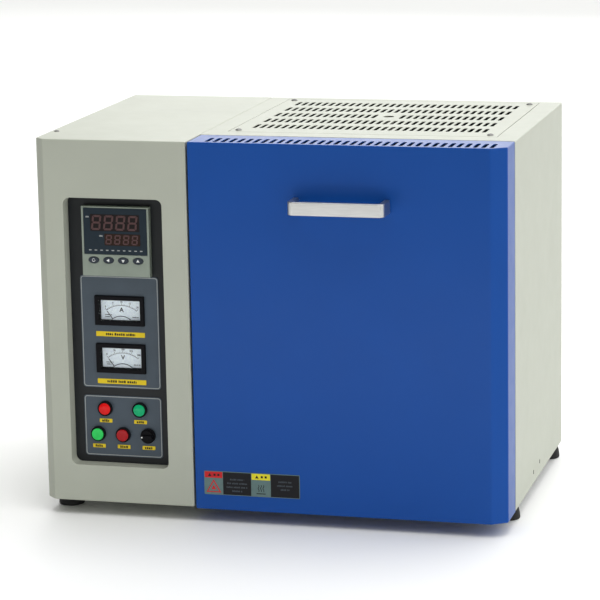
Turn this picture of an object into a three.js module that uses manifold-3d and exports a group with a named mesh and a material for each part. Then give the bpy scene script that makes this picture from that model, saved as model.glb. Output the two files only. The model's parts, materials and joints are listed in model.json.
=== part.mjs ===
// Bench-top chamber furnace: control cabinet on the left, heated chamber behind a drop-down door on
// the right. Millimetres. X runs to the right from the middle of the body, Y runs back from the plane
// of the front faces, and Z runs up from the bench. The outermost group centres the depth on Y = 0.
import * as THREE from 'three';
import { mergeVertices } from 'three/addons/utils/BufferGeometryUtils.js';
import Module from 'manifold-3d';

const wasm = await Module();
wasm.setup();

// Casing
const bodyWidth = 650;
const bodyDepth = 444;
const bodyHeight = 506;
const footHeight = 20;
const cabinetWidth = 215;
const sheet = 1.5;
const fitGap = 0.3; // between pieces that touch
const weldDistance = 1e-4;
const cutPast = 1; // how far a cutter runs past the face it opens
const sidesOf = { wire: 10, probe: 12, pin: 16, boss: 20, disc: 24 }; // facets round a curve
const footBaseRadius = 18;
const footTopRadius = 12;
const footSole = { bevel: 1, rise: 1.5 };
const footWaist = { inset: 0.6, share: 0.35 }; // shares are of the foot's height
const footShoulder = { outset: 1.6, share: 0.75 };
const footSideInset = 18;
const footRearInset = 19;
const cabinetFootSetback = 55;
const furnaceFootSetback = 100;

// Control cabinet front
const cabinetChamfer = { across: 12.6, back: 11.7 };
const recessWidth = 140.3;
const recessHeight = 374.6;
const recessDepth = 20;
const recessCornerRadius = 9;
const recessLift = -13.9; // recess centre above the middle of the body's height
const recessShift = 2.4; // recess centre to the right of the middle of the cabinet
const instrumentPlateLap = 7;
const instrumentPlateThickness = 2;
const overlayWidth = 112.2;
const overlayThickness = 0.6;
const overlayCornerRadius = 4.5;
const meterOverlay = { lift: -2, height: 157.4 }; // lifts are above the recess centre
const switchOverlay = { lift: -135, height: 86.2 };

// Temperature controller
const controllerSize = 96;
const controllerBody = 90;
const controllerBodyDepth = 80;
const controllerLift = 126.2;
const controllerProud = 10;
const controllerWindow = { width: 90, height: 64, lift: 14 };
const controllerPocket = 1.5;
const keyWidth = 14.7;
const keyHeight = 9;
const keyPitch = 21.1;
const keyDrop = 26;
const keyLength = 3;
const keyProud = 1.2;
const keyTravel = 0.8;
const keyClearance = 0.35;
const keySteps = [-1.5, -0.5, 0.5, 1.5]; // pitches from the middle of the row
const keyCurveSteps = 8;

// Panel meters
const meterFrame = { width: 70.5, height: 41, proud: 4 };
const meterBody = { width: 74, rise: 22, drop: 36, depth: 28 }; // behind the plate
const meterWindow = { width: 59.5, height: 29.5, depth: 12.5 };
const needleChamber = { width: 40, wall: 1.25 }; // below the window, behind the plate
const dialThickness = 1;
const needleLength = 34.5;
const needleWidth = 0.9;
const needleThickness = 0.5;
const needleHubRadius = 2.6;
const needleRestAngle = THREE.MathUtils.degToRad(-37);
const needlePivotDrop = 15.3; // below the lower edge of the window
const ammeterLift = 28.4;
const voltmeterLift = -38.6;

// Lamps, push buttons and selector
const ringRadius = 10.5;
const ringProud = 5;
const ringFloor = 0.9; // behind the cap, at full travel
const barrelRadius = 7.9;
const barrelLength = 36;
const capRadius = 8.25;
const capProud = 2.6; // cap face in front of the ring
const capThickness = 2.6;
const lensCrown = 1.8;
const buttonCrown = 0.6;
const crownStep = { radius: 0.55, fall: 0.3 }; // shares of the cap's radius and of its crown
const stemRadius = 4.8;
const stemLength = 30;
const runningClearance = 0.35;
const upperRowLift = -110.1;
const lowerRowLift = -146.4;
const upperRowSpacing = 50;
const lowerRowSpacing = 36;
const selectorGrip = { width: 4.5, length: 15.5, proud: 4.6 };

// Furnace section
const doorDepth = 64.5;
const doorDrop = 2; // door's lower edge below the body's underside
const doorSideGap = 2.5;
const doorChamfer = { across: 20.6, back: 13.9 };
const sweepGap = 0.7; // between the door's lower rear edge, as it turns, and the front frame
const pivotSetback = 12; // hinge line behind the door's outer face
const pivotRise = 14; // hinge line above the body's underside
const doorSlot = { width: 6, length: 34, pitch: 11.05, setback: 6, margin: 21, shift: 2.5 };
const grilleMargin = { side: 31.1, front: 101, rear: 16 };
const grilleThickness = 1;
const grilleGap = 0.8;
const grilleLedge = 9;
const grilleSlot = { width: 5, length: 34, pitch: 10.05, margin: 25 };
const grilleRow = { pitch: 56.5, margin: 33, shift: 4.5 };
const flueHoleRadius = 7.85;
const flueSkip = 1.4; // pitches left without slots on each side of the flue hole
const flueSetback = 270; // behind the front faces
const rearSlot = { width: 60, height: 4, pitch: 12, count: 7 };
const rearSlotRise = 60;
const panRim = 18;

// Chamber and insulation
const chamberWidth = 200;
const chamberHeight = 160;
const chamberDepth = 250;
const collarThickness = 30;
const wallInsulation = 85; // floor and roof boards
const sideAirGap = 31;
const rearAirGap = 32;
const mouthReveal = 14; // collar showing inside the front frame's opening
const hearth = { width: 184, depth: 230, thickness: 10 };
const heaterRadius = 4;
const heaterGroove = 6; // half the groove's width and its depth beyond the heater
const heaterRuns = 4;
const heaterPitch = 34;
const heaterEndMargin = 20;
const heaterLeadLength = 14;
const leadClearance = 1;
const heaterSetIn = 1; // heater's middle from the middle of its groove
const probeRadius = 4;
const probeReach = 60;
const probeHeadRadius = 13;
const probeHeadLength = 18;
const probeRise = 45; // above the chamber's centre
const flueTubeRadius = 6.8;
const flueTubeBore = 4.5;
const flueTubeGap = 1; // below the grille
const supportWidth = 240;
const supportThickness = 2;

// Door fittings
const plugClearance = 4;
const plugReach = 30;
const plugTaper = 10;
const doorBacking = 60; // insulation beyond the plug, all round
const doorFrontGap = 20; // air space behind the door's skin
const innerPlateSetIn = 1.5;
const innerPlateRise = 40; // above the body's underside
const armInset = 60; // hinge arm from the door's side
const armThickness = 6;
const armBossRadius = 8;
const armReach = 72; // behind the front frame
const armFootHeight = 38;
const armNeckHeight = 12;
const pinRadius = 3;
const earThickness = 4;
const earGap = 0.6;
const earHeight = 90;
const earToe = { drop: 6, setback: 1 }; // below and in front of the inner plate's lower edge
const earBrow = 4; // in front of the hinge line, above the boss
const armRise = 2; // arm's centre line above the hinge line
const armLead = 2; // arm's bends from the front frame's faces
const armKnee = { low: 4, high: 10 };
const pinProud = 2;
const pinHolePast = 0.2;
const notchClearance = 2;
const handle = { length: 132, height: 18, proud: 38, bar: 8, radius: 9, shift: -3 };
const handleDrop = 80; // handle's centre below the top
const plungerRadius = 3;
const plungerInset = 18; // from the side of the front frame
const plungerDrop = 40;
const plungerLength = 20;
const switchBody = { width: 16, depth: 30, height: 32 };

// Parts behind the instruments
const gland = { thread: 8, nut: 12, bore: 4.5, proud: 22, depth: 12 };
const glandRise = 60;
const glandSides = 18;
const glandMouthRim = 2;
const moduleSize = { width: 70, depth: 90, height: 130 };
const moduleBase = 8;
const finCount = 7;
const finThickness = 3;
const finReach = 42;
const relayShare = { depth: 0.6, height: 0.5 }; // of the module's depth and height
const contactorSize = { width: 80, depth: 46, height: 76 };
const contactorStep = { depth: 0.3, height: 0.25 }; // shares of its width and height
const terminalSize = { width: 26, depth: 110, height: 22 };
const terminalWays = 8;
const terminalRib = 3;
const terminalShelf = 0.55; // share of the width left behind each bay
const modulePlace = { y: 300, lift: 60 }; // lifts are above the middle of the body
const contactorPlace = { y: 220, lift: -90 };
const terminalPlace = { y: 330, lift: -120 };

// Places that follow from the sizes
const bottomZ = footHeight;
const topZ = bottomZ + bodyHeight;
const leftX = -bodyWidth / 2;
const rightX = bodyWidth / 2;
const cabinetRightX = leftX + cabinetWidth;
const furnaceLeftX = cabinetRightX + fitGap;
const doorLeftX = cabinetRightX + doorSideGap;
const furnaceCentreX = (furnaceLeftX + rightX) / 2;
const panelCentreX = (leftX + cabinetRightX) / 2 + recessShift;
const panelCentreZ = bottomZ + bodyHeight / 2 + recessLift;
const pivotY = pivotSetback;
const pivotZ = bottomZ + pivotRise;
const doorSweep = Math.hypot(doorDepth - pivotSetback, pivotRise + doorDrop);
const frameFrontY = pivotY + doorSweep + sweepGap;
const frameBackY = frameFrontY + sheet;
const overlayBackY = recessDepth - fitGap / 2;
const overlayFrontY = overlayBackY - overlayThickness;
const instrumentPlateY = recessDepth + fitGap;
const collarFrontY = frameBackY + fitGap;
const chamberFrontY = collarFrontY + collarThickness + fitGap;
const chamberBackY = chamberFrontY + chamberDepth;
const packBackY = bodyDepth - sheet - rearAirGap;
const chamberCentreZ = bottomZ + bodyHeight / 2;
const chamberFloorZ = chamberCentreZ - chamberHeight / 2;
const chamberRoofZ = chamberCentreZ + chamberHeight / 2;
const packBottomZ = chamberFloorZ - wallInsulation;
const packTopZ = chamberRoofZ + wallInsulation;
const packHalfWidth = (rightX - furnaceLeftX) / 2 - sheet - sideAirGap;
const innerPlateY = doorDepth - innerPlateSetIn - sheet;
const armCentres = [doorLeftX + armInset, rightX - armInset];

// Finishes
function finish(color, roughness, metalness = 0) {
  return () => new THREE.MeshStandardMaterial({ color, roughness, metalness });
}
const paleEnamel = finish(0xd9dccf, 0.45);
const blueEnamel = finish(0x1f4f9c, 0.4);
const zincSteel = finish(0xb4b6b3, 0.4, 0.9);
const satinAluminium = finish(0xcfcfca, 0.35, 1);
const blackPlastic = finish(0x1c1e20, 0.45);
const blackPlate = finish(0x222528, 0.5);
const greyOverlay = finish(0x444b56, 0.5);
const bezelPlastic = finish(0xb5bdb0, 0.5);
const darkWindow = finish(0x1a2430, 0.15);
const keyPlastic = finish(0x252b33, 0.5);
const dialWhite = finish(0xf2f2ec, 0.6);
const needleBlack = finish(0x101010, 0.6);
const redLens = finish(0xd01e1e, 0.3);
const greenLens = finish(0x12a86c, 0.3);
const rubber = finish(0x17181a, 0.8);
const fibreBoard = finish(0xeeeae0, 0.95);
const carbidePlate = finish(0x5c5d58, 0.85);
const heaterWire = finish(0x6f6a66, 0.6, 0.7);
const alumina = finish(0xefe9da, 0.7);

// Solids
function solidOf(geometry) {
  const plain = geometry.clone();
  plain.deleteAttribute('normal');
  plain.deleteAttribute('uv');
  const merged = mergeVertices(plain, weldDistance);
  const mesh = new wasm.Mesh({
    numProp: 3,
    vertProperties: new Float32Array(merged.attributes.position.array),
    triVerts: new Uint32Array(merged.index.array),
  });
  return new wasm.Manifold(mesh);
}

function geometryOf(solid) {
  const mesh = solid.getMesh();
  const geometry = new THREE.BufferGeometry();
  geometry.setAttribute('position', new THREE.BufferAttribute(mesh.vertProperties, 3));
  geometry.setIndex(new THREE.BufferAttribute(mesh.triVerts, 1));
  geometry.computeVertexNormals();
  return geometry;
}

function joined(...geometries) {
  return geometryOf(geometries.map(solidOf).reduce((sum, solid) => sum.add(solid)));
}

function cut(geometry, ...tools) {
  const whole = tools.map(solidOf).reduce((sum, tool) => sum.add(tool));
  return geometryOf(solidOf(geometry).subtract(whole));
}

function block([x0, x1], [y0, y1], [z0, z1]) {
  const geometry = new THREE.BoxGeometry(x1 - x0, y1 - y0, z1 - z0);
  return geometry.translate((x0 + x1) / 2, (y0 + y1) / 2, (z0 + z1) / 2);
}

function around(centre, size) {
  return [centre - size / 2, centre + size / 2];
}

function extrusion(shape, depth, curveSegments = 5) {
  return new THREE.ExtrudeGeometry(shape, { depth, bevelEnabled: false, curveSegments });
}

// An outline drawn in X and Y, raised along Z
function planPrism(shape, [z0, z1]) {
  return extrusion(shape, z1 - z0).translate(0, 0, z0);
}

// An outline drawn in X and Z, run along Y
function frontPrism(shape, [y0, y1], curveSegments) {
  return extrusion(shape, y1 - y0, curveSegments).rotateX(Math.PI / 2).translate(0, y1, 0);
}

// An outline drawn in Y and Z, run along X
function sidePrism(shape, [x0, x1]) {
  const turn = new THREE.Matrix4().makeBasis(
    new THREE.Vector3(0, 1, 0),
    new THREE.Vector3(0, 0, 1),
    new THREE.Vector3(1, 0, 0),
  );
  return extrusion(shape, x1 - x0).applyMatrix4(turn).translate(x0, 0, 0);
}

function polygon(...points) {
  return new THREE.Shape(points.map(([x, y]) => new THREE.Vector2(x, y)));
}

function roundedRectangle(centreX, centreY, width, height, radius) {
  const [left, right] = around(centreX, width);
  const [low, high] = around(centreY, height);
  const shape = new THREE.Shape();
  shape.absarc(right - radius, low + radius, radius, -Math.PI / 2, 0);
  shape.absarc(right - radius, high - radius, radius, 0, Math.PI / 2);
  shape.absarc(left + radius, high - radius, radius, Math.PI / 2, Math.PI);
  shape.absarc(left + radius, low + radius, radius, Math.PI, 1.5 * Math.PI);
  return shape;
}

function ellipse(centreX, centreY, width, height) {
  const shape = new THREE.Shape();
  shape.absellipse(centreX, centreY, width / 2, height / 2, 0, 2 * Math.PI);
  return shape;
}

function rodY(radius, [y0, y1], x = 0, z = 0, sides = sidesOf.pin) {
  return new THREE.CylinderGeometry(radius, radius, y1 - y0, sides).translate(x, (y0 + y1) / 2, z);
}

function rodX(radius, [x0, x1], y, z, sides = sidesOf.pin) {
  const rod = new THREE.CylinderGeometry(radius, radius, x1 - x0, sides).rotateZ(Math.PI / 2);
  return rod.translate((x0 + x1) / 2, y, z);
}

function rodZ(radius, [z0, z1], x, y, sides = sidesOf.pin) {
  const rod = new THREE.CylinderGeometry(radius, radius, z1 - z0, sides).rotateX(Math.PI / 2);
  return rod.translate(x, y, (z0 + z1) / 2);
}

// A profile of [radius, distance along Y] points, turned about the Y axis
function turned(points, sides = sidesOf.boss) {
  return new THREE.LatheGeometry(points.map(([r, y]) => new THREE.Vector2(r, y)), sides);
}

function part(name, geometry, material) {
  const mesh = new THREE.Mesh(geometry, material());
  mesh.name = name;
  return mesh;
}

function group(...members) {
  const set = new THREE.Group();
  set.add(...members);
  return set;
}

// Control cabinet
function cabinetOutline(inset, backY) {
  const left = leftX + inset;
  const right = cabinetRightX - inset;
  return polygon(
    [left, inset + cabinetChamfer.back],
    [left + cabinetChamfer.across, inset],
    [right, inset],
    [right, backY],
    [left, backY],
  );
}

function recessOutline(margin) {
  const width = recessWidth + 2 * margin;
  const height = recessHeight + 2 * margin;
  return roundedRectangle(panelCentreX, panelCentreZ, width, height, recessCornerRadius + margin);
}

function cabinetShell() {
  const outer = planPrism(cabinetOutline(0, bodyDepth), [bottomZ, topZ]);
  const inside = [bottomZ + sheet, topZ - sheet];
  const hollow = planPrism(cabinetOutline(sheet, bodyDepth + cutPast), inside);
  const shell = cut(outer, hollow);
  const recessWall = frontPrism(recessOutline(sheet), [sheet / 2, recessDepth]);
  const recessSpace = frontPrism(recessOutline(0), [-cutPast, recessDepth + cutPast]);
  return part('cabinet_shell', cut(joined(shell, recessWall), recessSpace), paleEnamel);
}

function cabinetRearCover() {
  const inset = sheet + fitGap;
  const ySpan = [bodyDepth - sheet, bodyDepth];
  const cover = block([leftX + inset, cabinetRightX - inset], ySpan, [bottomZ + inset, topZ - inset]);
  const centreX = (leftX + cabinetRightX) / 2;
  const through = [ySpan[0] - cutPast, ySpan[1] + cutPast];
  const entry = rodY(gland.thread + fitGap, through, centreX, bottomZ + glandRise);
  const slots = slotStack(centreX, topZ - rearSlotRise, ySpan);
  return part('cabinet_rear_cover', cut(cover, entry, ...slots), paleEnamel);
}

// Ventilation slots through a rear cover, going down from a height
function slotStack(centreX, topSlotZ, [y0, y1]) {
  return Array.from({ length: rearSlot.count }, (_, row) =>
    block(
      around(centreX, rearSlot.width),
      [y0 - cutPast, y1 + cutPast],
      around(topSlotZ - row * rearSlot.pitch, rearSlot.height),
    ));
}

function cableGland() {
  const inner = bodyDepth - sheet - gland.depth;
  const outer = bodyDepth + gland.proud;
  const profile = [
    [gland.bore, inner],
    [gland.thread, inner],
    [gland.thread, bodyDepth + fitGap],
    [gland.nut, bodyDepth + fitGap],
    [gland.nut, outer - gland.proud / 3],
    [gland.bore + glandMouthRim, outer],
    [gland.bore, outer],
    [gland.bore, inner],
  ];
  const mesh = part('cable_gland', turned(profile, glandSides), blackPlastic);
  mesh.position.set((leftX + cabinetRightX) / 2, 0, bottomZ + glandRise);
  return mesh;
}

// Instrument panel
function actuatorPlaces() {
  const places = [];
  for (const side of [-1, 1]) {
    places.push([panelCentreX + (side * upperRowSpacing) / 2, panelCentreZ + upperRowLift]);
  }
  for (const column of [-1, 0, 1]) {
    places.push([panelCentreX + column * lowerRowSpacing, panelCentreZ + lowerRowLift]);
  }
  return places;
}

function meterPlaces() {
  return [ammeterLift, voltmeterLift].map((lift) => panelCentreZ + lift);
}

function barrelHoles(ySpan) {
  return actuatorPlaces().map(([x, z]) => rodY(barrelRadius + fitGap, ySpan, x, z));
}

function meterHoles(ySpan) {
  return meterPlaces().map((z) =>
    block(
      around(panelCentreX, meterFrame.width + 2 * fitGap),
      ySpan,
      around(z, meterFrame.height + 2 * fitGap),
    ));
}

function instrumentPlate() {
  const ySpan = [instrumentPlateY, instrumentPlateY + instrumentPlateThickness];
  const through = [ySpan[0] - cutPast, ySpan[1] + cutPast];
  const plate = block(
    around(panelCentreX, recessWidth + 2 * instrumentPlateLap),
    ySpan,
    around(panelCentreZ, recessHeight + 2 * instrumentPlateLap),
  );
  const controllerHole = block(
    around(panelCentreX, controllerBody + 2 * fitGap),
    through,
    around(panelCentreZ + controllerLift, controllerBody + 2 * fitGap),
  );
  const holes = [controllerHole, ...meterHoles(through), ...barrelHoles(through)];
  return part('instrument_plate', cut(plate, ...holes), blackPlate);
}

function overlaySheet({ lift, height }) {
  const outline = roundedRectangle(
    panelCentreX, panelCentreZ + lift, overlayWidth, height, overlayCornerRadius,
  );
  return frontPrism(outline, [overlayFrontY, overlayBackY]);
}

function overlays() {
  const through = [overlayFrontY - cutPast, overlayBackY + cutPast];
  return group(
    part('meter_overlay', cut(overlaySheet(meterOverlay), ...meterHoles(through)), greyOverlay),
    part('switch_overlay', cut(overlaySheet(switchOverlay), ...barrelHoles(through)), greyOverlay),
  );
}

// Temperature controller, about the centre of its bezel, with Y = 0 at the bezel's front
function controller() {
  const bezelDepth = recessDepth - controllerProud;
  const bezel = block(around(0, controllerSize), [0, bezelDepth], around(0, controllerSize));
  const housing = block(
    around(0, controllerBody),
    [bezelDepth / 2, bezelDepth + controllerBodyDepth],
    around(0, controllerBody),
  );
  const windowPocket = block(
    around(0, controllerWindow.width + 2 * fitGap),
    [-cutPast, controllerPocket],
    around(controllerWindow.lift, controllerWindow.height + 2 * fitGap),
  );
  const keyPlaces = keySteps.map((step) => step * keyPitch);
  const keyPocketDepth = keyLength - keyProud + keyTravel + fitGap;
  const keyPockets = keyPlaces.map((x) => frontPrism(
    ellipse(x, -keyDrop, keyWidth + 2 * keyClearance, keyHeight + 2 * keyClearance),
    [-cutPast, keyPocketDepth],
    keyCurveSteps,
  ));
  const caseSolid = cut(joined(bezel, housing), windowPocket, ...keyPockets);
  const windowPlate = block(
    around(0, controllerWindow.width),
    [fitGap, controllerPocket - fitGap],
    around(controllerWindow.lift, controllerWindow.height),
  );
  const keySpan = [-keyProud, keyLength - keyProud];
  const keyNames = ['key_set', 'key_shift', 'key_down', 'key_up'];
  const keys = keyPlaces.map((x, index) => part(
    keyNames[index],
    frontPrism(ellipse(x, -keyDrop, keyWidth, keyHeight), keySpan, keyCurveSteps),
    keyPlastic,
  ));
  const set = group(
    part('controller_case', caseSolid, bezelPlastic),
    part('controller_window', windowPlate, darkWindow),
    ...keys,
  );
  set.position.set(panelCentreX, controllerProud - fitGap, panelCentreZ + controllerLift);
  return set;
}

// Panel meter, about the centre of its frame, with Y = 0 at the face of the overlay
function panelMeter(name, z) {
  const bodyFront = instrumentPlateY + instrumentPlateThickness + fitGap - overlayFrontY;
  const frame = block(
    around(0, meterFrame.width),
    [-meterFrame.proud, 2 * bodyFront],
    around(0, meterFrame.height),
  );
  const body = block(
    around(0, meterBody.width),
    [bodyFront, meterBody.depth - meterFrame.proud],
    [-meterBody.drop, meterBody.rise],
  );
  const pocketFloor = meterWindow.depth - meterFrame.proud;
  const pocket = block(
    around(0, meterWindow.width),
    [-meterFrame.proud - cutPast, pocketFloor],
    around(0, meterWindow.height),
  );
  const dialSpan = [pocketFloor - fitGap - dialThickness, pocketFloor - fitGap];
  const dial = block(
    around(0, meterWindow.width - 2 * fitGap),
    dialSpan,
    around(0, meterWindow.height - 2 * fitGap),
  );
  const needleBack = dialSpan[0] - fitGap;
  const pivotZ = -meterWindow.height / 2 - needlePivotDrop;
  const chamber = block(
    around(0, needleChamber.width),
    [bodyFront + needleChamber.wall, dialSpan[0]],
    [pivotZ - needleHubRadius - fitGap, 0],
  );
  const needleFront = needleBack - needleThickness;
  const hubSpan = [needleFront - 2 * needleThickness, needleBack];
  const hub = rodY(needleHubRadius, hubSpan, 0, 0, sidesOf.probe);
  const blade = block(around(0, needleWidth), [needleFront, needleBack], [0, needleLength]);
  const needle = part(`${name}_needle`, joined(hub, blade), needleBlack);
  needle.position.z = pivotZ;
  needle.rotation.y = needleRestAngle;
  const set = group(
    part(`${name}_case`, cut(joined(frame, body), pocket, chamber), blackPlastic),
    part(`${name}_dial`, dial, dialWhite),
    needle,
  );
  set.position.set(panelCentreX, overlayFrontY, z);
  return set;
}

// The ring and threaded barrel of a lamp or switch, with Y = 0 at the face of the overlay
function actuatorRing() {
  const bore = capRadius + runningClearance;
  const stemBore = stemRadius + runningClearance;
  const floor = -fitGap - ringFloor;
  return turned([
    [stemBore, floor],
    [bore, floor],
    [bore, -ringProud],
    [ringRadius, -ringProud],
    [ringRadius, -fitGap],
    [barrelRadius, -fitGap],
    [barrelRadius, barrelLength],
    [stemBore, barrelLength],
    [stemBore, floor],
  ]);
}

// A cap on its stem, with its face crowned by a small amount
function actuatorCap(crown) {
  const face = -ringProud - capProud;
  const back = face + capThickness;
  return turned([
    [0, face],
    [capRadius * crownStep.radius, face + crown * crownStep.fall],
    [capRadius, face + crown],
    [capRadius, back],
    [stemRadius, back],
    [stemRadius, stemLength],
    [0, stemLength],
  ]);
}

function selectorKnob() {
  const grip = block(
    around(0, selectorGrip.length),
    [-ringProud - capProud - selectorGrip.proud, -ringProud],
    around(0, selectorGrip.width),
  );
  return joined(actuatorCap(buttonCrown), grip);
}

function actuator(name, capName, capGeometry, capMaterial, [x, z]) {
  const set = group(
    part(`${name}_ring`, actuatorRing(), blackPlastic),
    part(capName, capGeometry, capMaterial),
  );
  set.position.set(x, overlayFrontY, z);
  return set;
}

function actuators() {
  const [redLamp, greenLamp, start, stop, selector] = actuatorPlaces();
  return group(
    actuator('power_lamp', 'power_lamp_lens', actuatorCap(lensCrown), redLens, redLamp),
    actuator('heat_lamp', 'heat_lamp_lens', actuatorCap(lensCrown), greenLens, greenLamp),
    actuator('start_button', 'start_button_cap', actuatorCap(buttonCrown), greenLens, start),
    actuator('stop_button', 'stop_button_cap', actuatorCap(buttonCrown), redLens, stop),
    actuator('selector', 'selector_knob', selectorKnob(), blackPlastic, selector),
  );
}

// Power parts on the cabinet's right wall, about the wall's inner face at X = 0
function powerModule() {
  const { width, depth, height } = moduleSize;
  const base = block([-moduleBase, -fitGap], around(0, depth), around(0, height));
  const finPitch = (depth - finThickness) / (finCount - 1);
  const fins = Array.from({ length: finCount }, (_, index) => block(
    [-finReach, -moduleBase / 2],
    around((finThickness - depth) / 2 + index * finPitch, finThickness),
    around(0, height),
  ));
  const relay = block(
    [-width, cutPast - finReach],
    around(0, depth * relayShare.depth),
    around(0, height * relayShare.height),
  );
  return joined(base, ...fins, relay);
}

function contactor() {
  const { width, depth, height } = contactorSize;
  const body = block([-width, -fitGap], around(0, depth), around(0, height));
  const stepX = [-width - cutPast, -width * (1 - contactorStep.depth)];
  const step = block(stepX, around(0, depth + 2 * cutPast), [height * contactorStep.height, height]);
  const lowerStep = step.clone().rotateX(Math.PI);
  return cut(body, step, lowerStep);
}

function terminalBlock() {
  const { width, depth, height } = terminalSize;
  const body = block([-width, -fitGap], around(0, depth), around(0, height));
  const pitch = depth / terminalWays;
  const bays = Array.from({ length: terminalWays }, (_, index) => block(
    [-width - cutPast, -width * terminalShelf],
    around(-depth / 2 + (index + 0.5) * pitch, pitch - terminalRib),
    around(0, height + 2 * cutPast),
  ));
  return cut(body, ...bays);
}

function powerParts() {
  const module = part('power_module', powerModule(), satinAluminium);
  const relay = part('contactor', contactor(), blackPlastic);
  const terminals = part('terminal_block', terminalBlock(), alumina);
  module.position.set(0, modulePlace.y, modulePlace.lift);
  relay.position.set(0, contactorPlace.y, contactorPlace.lift);
  terminals.position.set(0, terminalPlace.y, terminalPlace.lift);
  const set = group(module, relay, terminals);
  set.position.set(cabinetRightX - sheet, 0, bottomZ + bodyHeight / 2);
  return set;
}

// Furnace section casing
function grilleSpans(gap) {
  return {
    x: [furnaceLeftX + grilleMargin.side - gap, rightX - grilleMargin.side + gap],
    y: [grilleMargin.front - gap, bodyDepth - grilleMargin.rear + gap],
  };
}

function furnaceShell() {
  const hollow = block(
    [furnaceLeftX + sheet, rightX - sheet],
    [frameFrontY - cutPast, bodyDepth + cutPast],
    [bottomZ - cutPast, topZ - sheet],
  );
  const shell = cut(block([furnaceLeftX, rightX], [frameFrontY, bodyDepth], [bottomZ, topZ]), hollow);
  const opening = grilleSpans(grilleGap);
  const ledge = grilleSpans(grilleGap + sheet);
  const inner = grilleSpans(grilleGap - grilleLedge);
  const ledgeTopZ = topZ - grilleThickness - fitGap;
  const ledgeFrame = block(ledge.x, ledge.y, [ledgeTopZ - sheet, topZ - sheet / 2]);
  const grilleSeat = block(opening.x, opening.y, [ledgeTopZ, topZ + cutPast]);
  const window = block(inner.x, inner.y, [ledgeTopZ - sheet - cutPast, topZ + cutPast]);
  return part('furnace_shell', cut(joined(shell, ledgeFrame), grilleSeat, window), paleEnamel);
}

// Centres of a row of slots that fills a span, less a margin at each end
function slotCentres([low, high], pitch, margin) {
  const count = Math.floor((high - low - 2 * margin) / pitch) + 1;
  const first = (low + high) / 2 - ((count - 1) * pitch) / 2;
  return Array.from({ length: count }, (_, index) => first + index * pitch);
}

function topGrille() {
  const { x, y } = grilleSpans(0);
  const sheetZ = [topZ - grilleThickness, topZ];
  const through = [sheetZ[0] - cutPast, sheetZ[1] + cutPast];
  const columns = slotCentres(x, grilleSlot.pitch, grilleSlot.margin);
  const rows = slotCentres(y, grilleRow.pitch, grilleRow.margin + grilleSlot.length / 2);
  const clearOfFlue = (slotX, slotY) =>
    Math.abs(slotY - flueSetback) > grilleSlot.length / 2 + flueHoleRadius
    || Math.abs(slotX - furnaceCentreX) > grilleSlot.pitch * flueSkip;
  const slots = rows.map((row) => row + grilleRow.shift).flatMap((slotY) =>
    columns.filter((slotX) => clearOfFlue(slotX, slotY)).map((slotX) =>
      block(around(slotX, grilleSlot.width), around(slotY, grilleSlot.length), through)));
  const flue = rodZ(flueHoleRadius, through, furnaceCentreX, flueSetback, sidesOf.disc);
  return part('top_grille', cut(block(x, y, sheetZ), flue, ...slots), paleEnamel);
}

function rearPanel() {
  const inset = sheet + fitGap;
  const ySpan = [bodyDepth - sheet, bodyDepth];
  const xSpan = [furnaceLeftX + inset, rightX - inset];
  const panel = block(xSpan, ySpan, [bottomZ + fitGap, topZ - inset]);
  const quarter = (xSpan[1] - xSpan[0]) / 4;
  const slots = [xSpan[0] + quarter, xSpan[1] - quarter].flatMap((x) => [
    ...slotStack(x, topZ - rearSlotRise, ySpan),
    ...slotStack(x, bottomZ + rearSlotRise + rearSlot.pitch * rearSlot.count, ySpan),
  ]);
  return part('rear_panel', cut(panel, ...slots), paleEnamel);
}

function frontFrame() {
  const ySpan = [frameFrontY, frameBackY];
  const through = [ySpan[0] - cutPast, ySpan[1] + cutPast];
  const inset = sheet + fitGap;
  const xSpan = [furnaceLeftX + inset, rightX - inset];
  const panel = block(xSpan, ySpan, [bottomZ + fitGap, topZ - inset]);
  const mouth = block(
    around(furnaceCentreX, chamberWidth + 2 * mouthReveal),
    through,
    around(chamberCentreZ, chamberHeight + 2 * mouthReveal),
  );
  const armNotches = armCentres.map((x) => block(
    around(x, armThickness + 2 * notchClearance),
    through,
    [bottomZ - cutPast, bottomZ + armFootHeight + 2 * notchClearance],
  ));
  const { x, z } = plungerPlace();
  const plungerHole = rodY(plungerRadius + 2 * runningClearance, through, x, z);
  return part('front_frame', cut(panel, mouth, ...armNotches, plungerHole), paleEnamel);
}

function basePan() {
  const inset = sheet + fitGap;
  const x = [furnaceLeftX + inset, rightX - inset];
  const y = [frameBackY + fitGap, bodyDepth - sheet - fitGap];
  const tray = block(x, y, [bottomZ, bottomZ + panRim]);
  const space = block(
    [x[0] + sheet, x[1] - sheet],
    [y[0] - cutPast, y[1] - sheet],
    [bottomZ + sheet, bottomZ + panRim + cutPast],
  );
  return part('base_pan', cut(tray, space), zincSteel);
}

function supportFrame() {
  const x = around(furnaceCentreX, supportWidth);
  const y = [collarFrontY, packBackY];
  const z = [bottomZ + sheet + fitGap, packBottomZ - fitGap];
  const tunnel = block(
    [x[0] + supportThickness, x[1] - supportThickness],
    [y[0] - cutPast, y[1] + cutPast],
    [z[0] - cutPast, z[1] - supportThickness],
  );
  return part('support_frame', cut(block(x, y, z), tunnel), zincSteel);
}

// Chamber: boards round a space chamberWidth by chamberHeight by chamberDepth
const packX = [furnaceCentreX - packHalfWidth, furnaceCentreX + packHalfWidth];
const chamberX = around(furnaceCentreX, chamberWidth);

function heaterHeights() {
  return Array.from({ length: heaterRuns }, (_, run) =>
    chamberCentreZ + (run - (heaterRuns - 1) / 2) * heaterPitch);
}

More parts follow.
